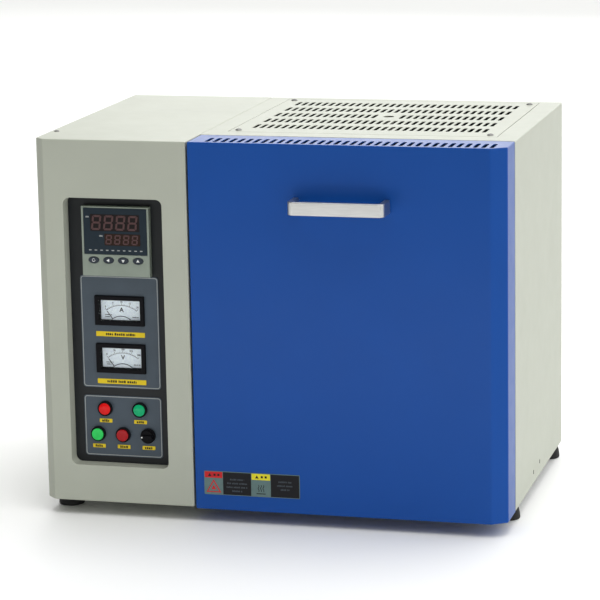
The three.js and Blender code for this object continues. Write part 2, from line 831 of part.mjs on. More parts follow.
// Runs and end links of one heater, each given by its spans along Y and Z
function heaterPath() {
  const heights = heaterHeights();
  const front = chamberFrontY + heaterEndMargin;
  const back = chamberBackY - heaterEndMargin;
  const leadEnd = packBackY + heaterLeadLength;
  const runs = heights.map((z, run) => {
    const isLead = run === 0 || run === heaterRuns - 1;
    return { y: [front, isLead ? leadEnd : back], z };
  });
  const links = heights.slice(1).map((z, run) => ({
    y: run % 2 === 0 ? front : back,
    z: [heights[run], z],
  }));
  return { runs, links };
}

function heaterX(side) {
  return furnaceCentreX + side * (chamberWidth / 2 + heaterGroove - heaterSetIn);
}

function heatingElement(name, side) {
  const { runs, links } = heaterPath();
  const x = heaterX(side);
  const rods = runs.map(({ y, z }) => rodY(heaterRadius, y, x, z, sidesOf.wire));
  const bends = links.map(({ y, z }) =>
    rodZ(heaterRadius, [z[0] - heaterRadius, z[1] + heaterRadius], x, y, sidesOf.wire));
  return part(name, joined(...rods, ...bends), heaterWire);
}

function sideBoard(name, side) {
  const wall = furnaceCentreX + (side * chamberWidth) / 2;
  const outer = furnaceCentreX + side * packHalfWidth;
  const board = block(
    [Math.min(wall, outer), Math.max(wall, outer)],
    [chamberFrontY, chamberBackY],
    [chamberFloorZ, chamberRoofZ],
  );
  const { runs, links } = heaterPath();
  const groove = around(wall, 4 * heaterGroove);
  const grooves = runs.map(({ y, z }) =>
    block(groove, [y[0] - heaterGroove, y[1] + heaterGroove], around(z, 2 * heaterGroove)));
  const ends = links.map(({ y, z }) =>
    block(groove, around(y, 2 * heaterGroove), [z[0] - heaterGroove, z[1] + heaterGroove]));
  return part(name, cut(board, ...grooves, ...ends), fibreBoard);
}

function rearBoard() {
  const y = [chamberBackY + fitGap, packBackY];
  const through = [y[0] - cutPast, y[1] + cutPast];
  const board = block(packX, y, [chamberFloorZ, chamberRoofZ]);
  const heights = heaterHeights();
  const leadHoles = [-1, 1].flatMap((side) =>
    [heights[0], heights[heaterRuns - 1]].map((z) =>
      rodY(heaterRadius + leadClearance, through, heaterX(side), z, sidesOf.probe)));
  const probeZ = chamberCentreZ + probeRise;
  const probeHole = rodY(probeRadius + fitGap, through, furnaceCentreX, probeZ, sidesOf.probe);
  return part('insulation_rear', cut(board, ...leadHoles, probeHole), fibreBoard);
}

function insulationBoards() {
  const y = [chamberFrontY, packBackY];
  const collar = cut(
    block(packX, [collarFrontY, collarFrontY + collarThickness], [packBottomZ, packTopZ]),
    block(
      chamberX,
      [collarFrontY - cutPast, collarFrontY + collarThickness + cutPast],
      [chamberFloorZ, chamberRoofZ],
    ),
  );
  const flueHoleZ = [chamberRoofZ - cutPast, packTopZ + cutPast];
  const roof = cut(
    block(packX, y, [chamberRoofZ + fitGap, packTopZ]),
    rodZ(flueTubeRadius + fitGap, flueHoleZ, furnaceCentreX, flueSetback),
  );
  const floor = block(packX, y, [packBottomZ, chamberFloorZ - fitGap]);
  return group(
    part('insulation_collar', collar, fibreBoard),
    part('insulation_floor', floor, fibreBoard),
    part('insulation_roof', roof, fibreBoard),
    sideBoard('insulation_left', -1),
    sideBoard('insulation_right', 1),
    rearBoard(),
  );
}

function hearthPlate() {
  const z = chamberFloorZ + fitGap;
  const centreY = (chamberFrontY + chamberBackY) / 2;
  const plate = block(
    around(furnaceCentreX, hearth.width),
    around(centreY, hearth.depth),
    [z, z + hearth.thickness],
  );
  return part('hearth_plate', plate, carbidePlate);
}

function thermocouple() {
  const headFront = packBackY + fitGap;
  const profile = [
    [0, chamberBackY - probeReach],
    [probeRadius, chamberBackY - probeReach],
    [probeRadius, headFront],
    [probeHeadRadius, headFront],
    [probeHeadRadius, headFront + probeHeadLength],
    [0, headFront + probeHeadLength],
  ];
  const mesh = part('thermocouple', turned(profile, sidesOf.pin), alumina);
  mesh.position.set(furnaceCentreX, 0, chamberCentreZ + probeRise);
  return mesh;
}

function flueTube() {
  const low = chamberRoofZ + fitGap;
  const high = topZ - grilleThickness - flueTubeGap;
  const bore = rodZ(flueTubeBore, [low - cutPast, high + cutPast], furnaceCentreX, flueSetback);
  const tube = rodZ(flueTubeRadius, [low, high], furnaceCentreX, flueSetback);
  return part('flue_tube', cut(tube, bore), alumina);
}

// Door, hinge and door switch
function doorOutline(inset, backY) {
  const left = doorLeftX + inset;
  const right = rightX - inset;
  return polygon(
    [left, inset],
    [right - doorChamfer.across, inset],
    [right, inset + doorChamfer.back],
    [right, backY],
    [left, backY],
  );
}

function doorShell() {
  const doorBottomZ = bottomZ - doorDrop;
  const outer = planPrism(doorOutline(0, doorDepth), [doorBottomZ, topZ]);
  const hollow = planPrism(doorOutline(sheet, doorDepth + cutPast), [doorBottomZ + sheet, topZ - sheet]);
  const slotY = [doorSlot.setback, doorSlot.setback + doorSlot.length];
  const slotSpan = [doorLeftX + doorSlot.shift, rightX + doorSlot.shift];
  const slots = slotCentres(slotSpan, doorSlot.pitch, doorSlot.margin).map((x) =>
    block(around(x, doorSlot.width), slotY, [topZ - sheet - cutPast, topZ + cutPast]));
  const armSlots = armCentres.map((x) => block(
    around(x, armThickness + 2 * notchClearance),
    [pivotY - armBossRadius + notchClearance, doorDepth + cutPast],
    [doorBottomZ - cutPast, doorBottomZ + sheet + cutPast],
  ));
  return part('door_shell', cut(outer, hollow, ...slots, ...armSlots), blueEnamel);
}

function earSpan(armX) {
  const inward = armX < furnaceCentreX ? 1 : -1;
  const near = armX + inward * (armThickness / 2 + earGap);
  return { inward, span: [near, near + inward * earThickness].sort((a, b) => a - b) };
}

function doorInnerPlate() {
  const inset = sheet + fitGap;
  const low = bottomZ + innerPlateRise;
  const plateY = [innerPlateY, innerPlateY + sheet];
  const plate = block([doorLeftX + inset, rightX - inset], plateY, [low, topZ - inset]);
  const opening = block(
    around(furnaceCentreX, plugWidth() + 2 * fitGap),
    [plateY[0] - cutPast, plateY[1] + cutPast],
    around(chamberCentreZ, plugHeight() + 2 * fitGap),
  );
  const outline = new THREE.Shape();
  outline.moveTo(pivotY, pivotZ - armBossRadius);
  outline.lineTo(innerPlateY - earToe.setback, low - earToe.drop);
  outline.lineTo(innerPlateY + sheet, low);
  outline.lineTo(innerPlateY + sheet, low + earHeight / 2);
  outline.lineTo(innerPlateY, low + earHeight / 2);
  outline.lineTo(pivotY - earBrow, pivotZ + 2 * armBossRadius);
  outline.absarc(pivotY, pivotZ, armBossRadius, Math.PI, 1.5 * Math.PI);
  const ears = armCentres.map((x) => sidePrism(outline, earSpan(x).span));
  const pinHoles = armCentres.map((x) => {
    const { span } = earSpan(x);
    const holeX = [span[0] - pinHolePast, span[1] + cutPast];
    return rodX(pinRadius + runningClearance, holeX, pivotY, pivotZ);
  });
  return part('door_inner_plate', cut(joined(plate, ...ears), opening, ...pinHoles), zincSteel);
}

function plugWidth() {
  return chamberWidth - 2 * plugClearance;
}

function plugHeight() {
  return chamberHeight - 2 * plugClearance;
}

// Backing slab inside the door, with the tapered plug that enters the chamber's mouth
function doorInsulation() {
  const slabY = [sheet + doorFrontGap, innerPlateY - fitGap];
  const slab = block(
    around(furnaceCentreX, plugWidth() + 2 * doorBacking),
    slabY,
    around(chamberCentreZ, plugHeight() + 2 * doorBacking),
  );
  const neck = block(
    around(furnaceCentreX, plugWidth()),
    [slabY[1] - cutPast, innerPlateY + sheet + fitGap],
    around(chamberCentreZ, plugHeight()),
  );
  const plug = taperedBlock(plugWidth(), plugHeight(), plugTaper, plugReach);
  plug.translate(furnaceCentreX, innerPlateY + sheet, chamberCentreZ);
  return part('door_insulation', joined(slab, neck, plug), fibreBoard);
}

// A block that narrows by the taper on every side as it runs back from Y = 0
function taperedBlock(width, height, taper, depth) {
  const geometry = new THREE.BoxGeometry(width, depth, height).translate(0, depth / 2, 0);
  const position = geometry.attributes.position;
  for (let index = 0; index < position.count; index += 1) {
    if (position.getY(index) > depth / 2) {
      position.setX(index, position.getX(index) * (1 - (2 * taper) / width));
      position.setZ(index, position.getZ(index) * (1 - (2 * taper) / height));
    }
  }
  return geometry;
}

function doorHandle() {
  const { length, height, proud, bar, radius, shift } = handle;
  const [left, right] = around(furnaceCentreX + shift, length);
  const inner = Math.max(radius - bar, 1);
  const shape = new THREE.Shape();
  shape.moveTo(left, -fitGap);
  shape.absarc(left + radius, -proud + radius, radius, Math.PI, 1.5 * Math.PI);
  shape.absarc(right - radius, -proud + radius, radius, 1.5 * Math.PI, 2 * Math.PI);
  shape.lineTo(right, -fitGap);
  shape.lineTo(right - bar, -fitGap);
  shape.absarc(right - bar - inner, -proud + bar + inner, inner, 0, -Math.PI / 2, true);
  shape.absarc(left + bar + inner, -proud + bar + inner, inner, -Math.PI / 2, -Math.PI, true);
  shape.lineTo(left + bar, -fitGap);
  return part('door_handle', planPrism(shape, around(topZ - handleDrop, height)), satinAluminium);
}

function hingeArm(name, armX) {
  const neck = around(pivotZ + armRise, armNeckHeight);
  const backY = frameBackY + armReach;
  const outline = polygon(
    [pivotY, neck[0]],
    [frameFrontY - armLead, neck[0]],
    [frameBackY + armKnee.low, bottomZ + sheet + fitGap],
    [backY, bottomZ + sheet + fitGap],
    [backY, bottomZ + armFootHeight],
    [frameBackY + armKnee.high, bottomZ + armFootHeight],
    [frameFrontY - armLead, neck[1]],
    [pivotY, neck[1]],
  );
  const { inward } = earSpan(armX);
  const pinEnd = armX + inward * (armThickness / 2 + earGap + earThickness + pinProud);
  const bar = sidePrism(outline, around(armX, armThickness));
  const boss = rodX(armBossRadius, around(armX, armThickness), pivotY, pivotZ, sidesOf.boss);
  const pin = rodX(pinRadius, [Math.min(armX, pinEnd), Math.max(armX, pinEnd)], pivotY, pivotZ);
  return part(name, joined(bar, boss, pin), zincSteel);
}

function plungerPlace() {
  return { x: furnaceLeftX + sheet + fitGap + plungerInset, z: topZ - plungerDrop };
}

function doorSwitch() {
  const { x, z } = plungerPlace();
  const front = frameBackY + fitGap;
  const body = block(
    around(x, switchBody.width),
    [front, front + switchBody.depth],
    around(z, switchBody.height),
  );
  const tip = innerPlateY + sheet + fitGap;
  const boreY = [front - cutPast, tip + plungerLength + 2 * cutPast];
  const bore = rodY(plungerRadius + runningClearance, boreY, x, z);
  const plunger = rodY(plungerRadius, [tip, tip + plungerLength], x, z);
  return group(
    part('door_switch', cut(body, bore), blackPlastic),
    part('switch_plunger', plunger, redLens),
  );
}

// Feet
function foot(name, x, y) {
  const profile = [
    [0, 0],
    [footBaseRadius - footSole.bevel, 0],
    [footBaseRadius, footSole.rise],
    [footBaseRadius - footWaist.inset, footHeight * footWaist.share],
    [footTopRadius + footShoulder.outset, footHeight * footShoulder.share],
    [footTopRadius, footHeight - fitGap],
    [0, footHeight - fitGap],
  ];
  const mesh = part(name, turned(profile, sidesOf.disc).rotateX(Math.PI / 2), rubber);
  mesh.position.set(x, y, 0);
  return mesh;
}

function feet() {
  const left = leftX + footSideInset;
  const right = rightX - footSideInset;
  const rear = bodyDepth - footRearInset;
  return group(
    foot('foot_front_left', left, cabinetFootSetback),
    foot('foot_front_right', right, furnaceFootSetback),
    foot('foot_rear_left', left, rear),
    foot('foot_rear_right', right, rear),
  );
}

const [ammeterZ, voltmeterZ] = meterPlaces();

const cabinet = group(
  cabinetShell(),
  cabinetRearCover(),
  cableGland(),
  instrumentPlate(),
  overlays(),
  controller(),
  panelMeter('ammeter', ammeterZ),
  panelMeter('voltmeter', voltmeterZ),
  actuators(),
  powerParts(),
);

const furnaceSection = group(
  furnaceShell(),
  topGrille(),
  rearPanel(),
  frontFrame(),
  basePan(),
  supportFrame(),
  insulationBoards(),
  hearthPlate(),
  heatingElement('heating_element_left', -1),
  heatingElement('heating_element_right', 1),
  thermocouple(),
  flueTube(),
  hingeArm('hinge_arm_left', armCentres[0]),
  hingeArm('hinge_arm_right', armCentres[1]),
  doorSwitch(),
);

const door = group(doorShell(), doorInnerPlate(), doorInsulation(), doorHandle());

const furnace = group(cabinet, furnaceSection, door, feet());
furnace.name = 'chamber_furnace';
furnace.position.y = -(bodyDepth + gland.proud - handle.proud) / 2;

export default furnace;
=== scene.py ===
import json
import math
import random

import bpy
from mathutils import Matrix, Vector


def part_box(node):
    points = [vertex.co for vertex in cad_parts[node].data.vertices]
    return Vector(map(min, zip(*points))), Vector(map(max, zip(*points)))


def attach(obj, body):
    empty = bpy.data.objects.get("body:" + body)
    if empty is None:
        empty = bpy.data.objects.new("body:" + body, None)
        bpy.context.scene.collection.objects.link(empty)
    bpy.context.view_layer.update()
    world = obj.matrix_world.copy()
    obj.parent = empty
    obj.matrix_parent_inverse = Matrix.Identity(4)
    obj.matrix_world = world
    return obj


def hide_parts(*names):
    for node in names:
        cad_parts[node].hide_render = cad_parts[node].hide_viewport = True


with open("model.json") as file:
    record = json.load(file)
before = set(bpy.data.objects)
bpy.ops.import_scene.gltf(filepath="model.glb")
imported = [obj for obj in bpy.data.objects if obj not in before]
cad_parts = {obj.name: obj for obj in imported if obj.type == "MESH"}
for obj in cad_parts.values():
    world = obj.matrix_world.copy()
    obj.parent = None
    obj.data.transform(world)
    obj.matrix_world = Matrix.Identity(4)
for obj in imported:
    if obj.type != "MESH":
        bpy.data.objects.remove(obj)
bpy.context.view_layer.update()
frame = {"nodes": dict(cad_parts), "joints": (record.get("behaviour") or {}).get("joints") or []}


random.seed(7)
mm = 0.001
overrun = 5 * mm # how far a cutter runs past the sheet that it cuts
inkGap = 0.02 * mm # from a face to what is printed on it
near = 0.01 * mm # places closer than this count as the same
weldDistance = 0.002 * mm
smoothing = {"angle": 38, "weight": 80}


# working helpers

def makeActive(obj):
    bpy.ops.object.select_all(action="DESELECT")
    obj.select_set(True)
    bpy.context.view_layer.objects.active = obj


def boxOf(node):
    low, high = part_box(node)
    return low, high, (low + high) / 2


def spanAt(centre, width):
    return centre - width / 2, centre + width / 2


# a frame node's name as a piece's name; one word alone gets Body
def camelName(node):
    first, *rest = node.split("_")
    return first + ("".join(word.title() for word in rest) or "Body")


def linkNew(name, data):
    obj = bpy.data.objects.new(name, data)
    bpy.context.scene.collection.objects.link(obj)
    return obj


def takeNew(name):
    obj = bpy.context.object
    obj.name = name
    makeActive(obj)
    bpy.ops.object.transform_apply(location=True, rotation=True, scale=True)
    return obj


def addBox(name, low, high):
    low, high = Vector(low), Vector(high)
    bpy.ops.mesh.primitive_cube_add(size=1, location=(low + high) / 2, scale=high - low)
    return takeNew(name)


def addRod(name, radius, start, end, sides=48, endRadius=None):
    start, end = Vector(start), Vector(end)
    along = end - start
    bpy.ops.mesh.primitive_cone_add(
        vertices=sides, radius1=radius, radius2=radius if endRadius is None else endRadius,
        depth=along.length, location=(start + end) / 2,
        rotation=along.to_track_quat("Z", "Y").to_euler())
    return takeNew(name)


def addWire(name, points, radius, closed=False, sides=2):
    curve = bpy.data.curves.new(name, "CURVE")
    curve.dimensions = "3D"
    curve.bevel_depth = radius
    curve.bevel_resolution = sides
    curve.use_fill_caps = True
    line = curve.splines.new("POLY")
    line.points.add(len(points) - 1)
    for spot, place in zip(line.points, points):
        spot.co = (*place, 1)
    line.use_cyclic_u = closed
    makeActive(linkNew(name, curve))
    bpy.ops.object.convert(target="MESH")
    return bpy.context.object


def applyModifier(obj, kind, **settings):
    modifier = obj.modifiers.new(kind.title(), kind)
    for key, value in settings.items():
        setattr(modifier, key, value)
    makeActive(obj)
    bpy.ops.object.modifier_apply(modifier=modifier.name)
    return obj


def roundEdges(obj, width, segments=2, angle=50):
    return applyModifier(obj, "BEVEL", width=width, segments=segments, limit_method="ANGLE",
                         angle_limit=math.radians(angle), use_clamp_overlap=True)


def combine(obj, operation, others):
    for other in others:
        applyModifier(obj, "BOOLEAN", operation=operation, solver="EXACT", object=other)
        bpy.data.objects.remove(other)
    return obj


def cutBy(obj, *cutters):
    return combine(obj, "DIFFERENCE", cutters)


def joinPieces(name, pieces):
    makeActive(pieces[0])
    for piece in pieces[1:]:
        piece.select_set(True)
    if len(pieces) > 1:
        bpy.ops.object.join()
    pieces[0].name = name
    return pieces[0]


def copyOf(obj, name, shift=(0, 0, 0)):
    twin = linkNew(name, obj.data.copy())
    twin.data.transform(Matrix.Translation(Vector(shift)))
    return twin


def inEdit(obj, mode):
    makeActive(obj)
    bpy.ops.object.mode_set(mode="EDIT")
    bpy.ops.mesh.select_mode(type=mode)
    bpy.ops.mesh.select_all(action="DESELECT")
    bpy.ops.object.mode_set(mode="OBJECT")


def pickEdges(obj, test):
    inEdit(obj, "EDGE")
    spots = obj.data.vertices
    for edge in obj.data.edges:
        edge.select = test(spots[edge.vertices[0]].co, spots[edge.vertices[1]].co)
    bpy.ops.object.mode_set(mode="EDIT")


def pickFaces(obj, test):
    inEdit(obj, "FACE")
    for face in obj.data.polygons:
        face.select = test(face.center, face.normal)
    bpy.ops.object.mode_set(mode="EDIT")


def editDone():
    bpy.ops.object.mode_set(mode="OBJECT")


def bevelEdges(obj, test, width, segments):
    pickEdges(obj, test)
    bpy.ops.mesh.bevel(offset=width, segments=segments, affect="EDGES")
    editDone()
    return obj


def openFaces(obj, test):
    pickFaces(obj, test)
    bpy.ops.mesh.delete(type="FACE")
    editDone()
    return obj


def editAll(obj):
    makeActive(obj)
    bpy.ops.object.mode_set(mode="EDIT")
    bpy.ops.mesh.select_all(action="SELECT")


def cutAcross(obj, point, outward, **settings):
    editAll(obj)
    bpy.ops.mesh.bisect(plane_co=point, plane_no=outward, **settings)
    editDone()
    return obj


def sliceOff(obj, point, outward):
    return cutAcross(obj, point, outward, use_fill=True, clear_outer=True)


def runsAlong(axis):
    others = [index for index in range(3) if index != axis]
    return lambda a, b: all(abs(a[index] - b[index]) < near / 10 for index in others)


def roundedBlock(name, low, high, radius, axis=1, segments=6):
    block = addBox(name, low, high)
    return bevelEdges(block, runsAlong(axis), radius, segments)


# a slot with round ends, cut right through a sheet
def slotCutter(name, centre, size, sheetAxis, longAxis):
    low, high = zip(*(spanAt(centre[axis], size[axis]) for axis in range(3)))
    roundness = 0.49 # of the width, just short of half circles
    return roundedBlock(name, low, high, size[3 - sheetAxis - longAxis] * roundness, sheetAxis, 4)


# a welded copy of a frame piece, its triangles made whole faces and its sharp edges eased
def easedCopy(name, node, width, segments=2, angle=50):
    obj = copyOf(frame["nodes"][node], name)
    obj.data.materials.clear()
    editAll(obj)
    bpy.ops.mesh.remove_doubles(threshold=weldDistance)
    bpy.ops.mesh.tris_convert_to_quads(face_threshold=math.radians(1), shape_threshold=math.pi)
    editDone()
    return roundEdges(obj, width, segments, angle)


# painted shade: a dark matte finish on the faces whose middle and facing pass the test, standing in for
# the shade inside the casing and its gaps
def paintShadeOnFaces(obj, test):
    obj.data.materials.append(finishes["primer"])
    for face in obj.data.polygons:
        if test(face.center, face.normal):
            face.material_index = 1


# true for a face that looks into the box, not out of it
def looksInside(low, high):
    middle = (low + high) / 2
    depth = casing["insideShare"] * casing["wall"]

    def test(centre, normal):
        isDeep = all(low[axis] + depth < centre[axis] < high[axis] - depth for axis in (0, 2))
        return isDeep and normal.dot(middle - centre) > 0
    return test


def settle(obj, body, slotName, finish, *replaced):
    makeActive(obj)
    bpy.ops.object.shade_smooth_by_angle(angle=math.radians(smoothing["angle"]))
    applyModifier(obj, "WEIGHTED_NORMAL", keep_sharp=True, weight=smoothing["weight"])
    obj.data.materials.clear()
    obj.data.materials.append(finishes[finish])
    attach(obj, body)
    if replaced:
        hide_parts(*replaced)
    return obj


# finishes

def setSockets(node, values):
    for key, value in values.items():
        node.inputs[key].default_value = value


def noiseAt(tree, scale, detail, stretch):
    place = tree.nodes.new("ShaderNodeTexCoord")
    mapping = tree.nodes.new("ShaderNodeMapping")
    noise = tree.nodes.new("ShaderNodeTexNoise")
    setSockets(mapping, {"Scale": stretch})
    setSockets(noise, {"Scale": scale, "Detail": detail})
    tree.links.new(place.outputs["Object"], mapping.inputs["Vector"])
    tree.links.new(mapping.outputs["Vector"], noise.inputs["Vector"])
    return noise.outputs["Fac"]


def cellsAt(tree, scale):
    place = tree.nodes.new("ShaderNodeTexCoord")
    cells = tree.nodes.new("ShaderNodeTexVoronoi")
    setSockets(cells, {"Scale": scale})
    tree.links.new(place.outputs["Object"], cells.inputs["Vector"])
    return cells.outputs["Distance"]


# the colour runs from a darker to a lighter tint of itself as the factor goes from low to high
def varyColour(tree, shader, colour, factor, darker, lighter, low=0.3, high=0.7):
    ramp = tree.nodes.new("ShaderNodeValToRGB")
    for stop, position, tint in zip(ramp.color_ramp.elements, (low, high), (darker, lighter)):
        stop.position = position
        stop.color = (*(min(1.0, channel * tint) for channel in colour), 1)
    tree.links.new(factor, ramp.inputs["Fac"])
    tree.links.new(ramp.outputs["Color"], shader.inputs["Base Color"])


def varyRoughness(tree, shader, factor, low, high):
    spread = tree.nodes.new("ShaderNodeMapRange")
    setSockets(spread, {"To Min": low, "To Max": high})
    tree.links.new(factor, spread.inputs["Value"])
    tree.links.new(spread.outputs["Result"], shader.inputs["Roughness"])


def addBump(tree, shader, factor, strength, depth):
    bump = tree.nodes.new("ShaderNodeBump")
    setSockets(bump, {"Strength": strength, "Distance": depth})
    tree.links.new(factor, bump.inputs["Height"])
    tree.links.new(bump.outputs["Normal"], shader.inputs["Normal"])


# tone is spread, scale and detail; rough is less, more and scale; bump is scale, detail, strength
# and depth; spangle is scale, darker, lighter, low and high
styles = {
    "powder": {"gloss": 0.2, "tone": (0.025, 9, 4), "rough": (0.05, 0.06, 45),
               "bump": (850, 2, 0.12, 0.2 * mm)},
    "plastic": {"gloss": 0.25, "tone": (0.05, 40, 4), "rough": (0.05, 0.07, 120),
                "bump": (1400, 2, 0.1, 0.1 * mm)},
    "screen": {"gloss": 0.1, "tone": (0.05, 40, 4), "rough": (0.05, 0.07, 120),
               "bump": (1400, 2, 0.01, 0.1 * mm)},
    "cap": {"gloss": 0.15, "tone": (0.08, 160, 4), "bump": (500, 2, 0.05, 0.1 * mm),
            "sockets": {"Coat Weight": 0.07, "Coat Roughness": 0.1, "Subsurface Weight": 0.15,
                        "Subsurface Radius": (4 * mm, 4 * mm, 4 * mm)}},
    "ink": {"gloss": 0.15, "tone": (0.04, 120, 4), "bump": (1200, 2, 0.05, 0.05 * mm)},
    # glow for the controller's lit digits, and painted glow for the dial card
    "ledAndPaintedGlow": {"tone": (0.1, 300, 4)},
    "metal": {"metallic": 1.0, "tone": (0.06, 60, 4), "rough": (0.07, 0.07, 80),
              "bump": (160, 2, 0.08, 0.1 * mm)},
    "zinc": {"metallic": 1.0, "spangle": (90, 0.88, 1.1, 0.1, 0.8), "rough": (0.08, 0.1, 70)},
    "fibre": {"tone": (0.06, 26, 8), "bump": (330, 8, 0.55, 0.6 * mm),
              "sockets": {"Sheen Weight": 0.15}},
    "pane": {"rough": (0.02, 0.03, 30), "sockets": {"Alpha": 0.05}},
    "floor": {"tone": (0.008, 1.5, 4)},
}


def makeFinish(name, style, colour, roughness, glow=0.0, **changes):
    look = {**styles[style], **changes}
    material = bpy.data.materials.new(name)
    material.use_nodes = True
    tree = material.node_tree
    shader = tree.nodes["Principled BSDF"]
    stretch = look.get("stretch", (1, 1, 1))
    setSockets(shader, {"Base Color": (*colour, 1), "Roughness": roughness,
                        "Metallic": look.get("metallic", 0.0),
                        "Specular IOR Level": look.get("gloss", 0.5), **look.get("sockets", {})})
    if glow:
        setSockets(shader, {"Emission Color": (*colour, 1), "Emission Strength": glow})
    if "tone" in look:
        spread, scale, detail = look["tone"]
        noise = noiseAt(tree, scale, detail, stretch)
        varyColour(tree, shader, colour, noise, 1 - spread, 1 + spread)
    if "spangle" in look:
        scale, *tints = look["spangle"]
        varyColour(tree, shader, colour, cellsAt(tree, scale), *tints)
    if "rough" in look:
        less, more, scale = look["rough"]
        noise = noiseAt(tree, scale, 3, stretch)
        varyRoughness(tree, shader, noise, roughness - less, roughness + more)
    if "bump" in look:
        scale, detail, strength, depth = look["bump"]
        addBump(tree, shader, noiseAt(tree, scale, detail, stretch), strength, depth)
    return material


inks = {
    "Black": (0.01, 0.01, 0.012),
    "White": (0.75, 0.77, 0.76),
    "Line": (0.34, 0.36, 0.36),
    "Yellow": (0.74, 0.55, 0.02),
    "Lemon": (0.72, 0.64, 0.03),
    "Slate": (0.115, 0.18, 0.175),
    "Dim": (0.055, 0.068, 0.08),
    "Red": (0.52, 0.02, 0.025),
}
finishes = {
    "case": makeFinish("caseEnamel", "powder", (0.41, 0.43, 0.365), 0.42),
    # painted shade: a near-black matte finish laid on inner faces where shade falls
    "primer": makeFinish("innerPaintedShade", "powder", (0.014, 0.015, 0.016), 0.8, gloss=0.0),
    "door": makeFinish("doorEnamel", "powder", (0.004, 0.062, 0.30), 0.34, gloss=0.16,
                       bump=(800, 2, 0.1, 0.2 * mm)),
    "plate": makeFinish("panelBlack", "powder", (0.014, 0.016, 0.018), 0.45,
                        bump=(1200, 2, 0.08, 0.2 * mm)),
    "overlay": makeFinish("overlayFilm", "plastic", (0.058, 0.078, 0.100), 0.45,
                          bump=(1400, 2, 0.05, 0.1 * mm)),
    "black": makeFinish("mouldedBlack", "plastic", (0.005, 0.005, 0.0065), 0.42, gloss=0.06),
    "bezel": makeFinish("bezelGrey", "plastic", (0.24, 0.28, 0.235), 0.45),
    "key": makeFinish("keyRubber", "plastic", (0.022, 0.03, 0.042), 0.5),
    "screen": makeFinish("tintedScreen", "screen", (0.010, 0.020, 0.030), 0.16, gloss=0.15),
    "display": makeFinish("displayPane", "screen", (0.012, 0.008, 0.008), 0.2),
    "displayWarm": makeFinish("lowerPane", "screen", (0.022, 0.010, 0.006), 0.2),
    # painted light: the dial card, also used on the pivot cover, glows a little though it is no lamp
    "dial": makeFinish("dialCardPaintedGlow", "ledAndPaintedGlow", (0.80, 0.90, 1.0), 0.4, 0.17),
    "digits": makeFinish("litDigits", "ledAndPaintedGlow", (0.050, 0.009, 0.009), 0.4, 0.04),
    "red": makeFinish("redCap", "cap", (0.62, 0.006, 0.006), 0.3, 0.1),
    "green": makeFinish("greenCap", "cap", (0.004, 0.36, 0.14), 0.3, 0.08),
    "greenLit": makeFinish("litGreenCap", "cap", (0.02, 0.46, 0.085), 0.3, 0.22),
    "darkRed": makeFinish("darkRedCap", "cap", (0.34, 0.006, 0.009), 0.3, 0.05),
    "handle": makeFinish("satinHandle", "metal", (0.55, 0.55, 0.54), 0.34, stretch=(1, 14, 14)),
    "sink": makeFinish("extrudedSink", "metal", (0.66, 0.67, 0.68), 0.4, stretch=(14, 14, 1)),
    "steel": makeFinish("screwSteel", "metal", (0.20, 0.20, 0.195), 0.42),
    "wire": makeFinish("oxideWire", "metal", (0.17, 0.145, 0.13), 0.6, tone=(0.2, 60, 4)),
    "zinc": makeFinish("zincSheet", "zinc", (0.56, 0.57, 0.58), 0.38),
    "fibre": makeFinish("ceramicFibre", "fibre", (0.86, 0.83, 0.76), 0.95),
    "carbide": makeFinish("carbidePlate", "plastic", (0.10, 0.10, 0.095), 0.85,
                          bump=(700, 2, 0.5, 0.1 * mm)),
    "alumina": makeFinish("firedAlumina", "plastic", (0.82, 0.78, 0.68), 0.5,
                          bump=(900, 2, 0.15, 0.1 * mm)),
    "rubber": makeFinish("footRubber", "plastic", (0.012, 0.012, 0.012), 0.6,
                         bump=(900, 2, 0.3, 0.1 * mm)),
    "glass": makeFinish("meterPane", "pane", (0.03, 0.032, 0.034), 0.04),
}
for tone, colour in inks.items():
    finishes["ink" + tone] = makeFinish(tone.lower() + "Ink", "ink", colour, 0.5)
print("finishes ready:", len(finishes))


# casing

casing = {
    "wall": 1.5 * mm,
    "edge": 1.8 * mm,
    "easing": 0.35 * mm,
    "insideShare": 0.8, # of the wall, past which a face is inside
    "cabinetChamfer": (12.6 * mm, 11.7 * mm),
    "recess": (140.3 * mm, 374.6 * mm, 20 * mm),
    "recessRadius": 9 * mm,
    "recessEasing": 0.6 * mm,
    "doorChamfer": (20.6 * mm, 13.9 * mm),
}


def thicken(obj):
    return applyModifier(obj, "SOLIDIFY", thickness=casing["wall"], offset=-1, use_even_offset=True)


# a folded sheet box, open at the back, chamfered down its left (-1) or right (1) front corner
def foldedBox(name, low, high, chamfer, side):
    across, back = chamfer
    cornerX = high.x if side > 0 else low.x
    box = addBox(name, low, high)
    sliceOff(box, (cornerX - side * across, low.y, 0), (side * back, -across, 0))
    openFaces(box, lambda centre, normal: normal.y > 0.9)
    bevelEdges(box, lambda a, b: min(a.y, b.y) < high.y - near, casing["edge"], 3)
    return thicken(box)


def recessBlock(name, grow, front, back):
    centre = boxOf("instrument_plate")[2]
    width, height = casing["recess"][:2]
    x = spanAt(centre.x, width + 2 * grow)
    z = spanAt(centre.z, height + 2 * grow)
    return roundedBlock(name, (x[0], front, z[0]), (x[1], back, z[1]),
                        casing["recessRadius"] + grow, 1, 8)


def makeCabinet():
    low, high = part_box("cabinet_shell")
    case = foldedBox("cabinetCase", low, high, casing["cabinetChamfer"], -1)
    floorY = low.y + casing["recess"][2]
    tray = recessBlock("recessTray", casing["wall"], low.y + casing["wall"] / 2, floorY)
    combine(case, "UNION", [tray])
    cutBy(case, recessBlock("recessSpace", 0, low.y - overrun, floorY + overrun))
    roundEdges(case, casing["recessEasing"])
    settle(case, "housing", "case_enamel", "case", "cabinet_shell")


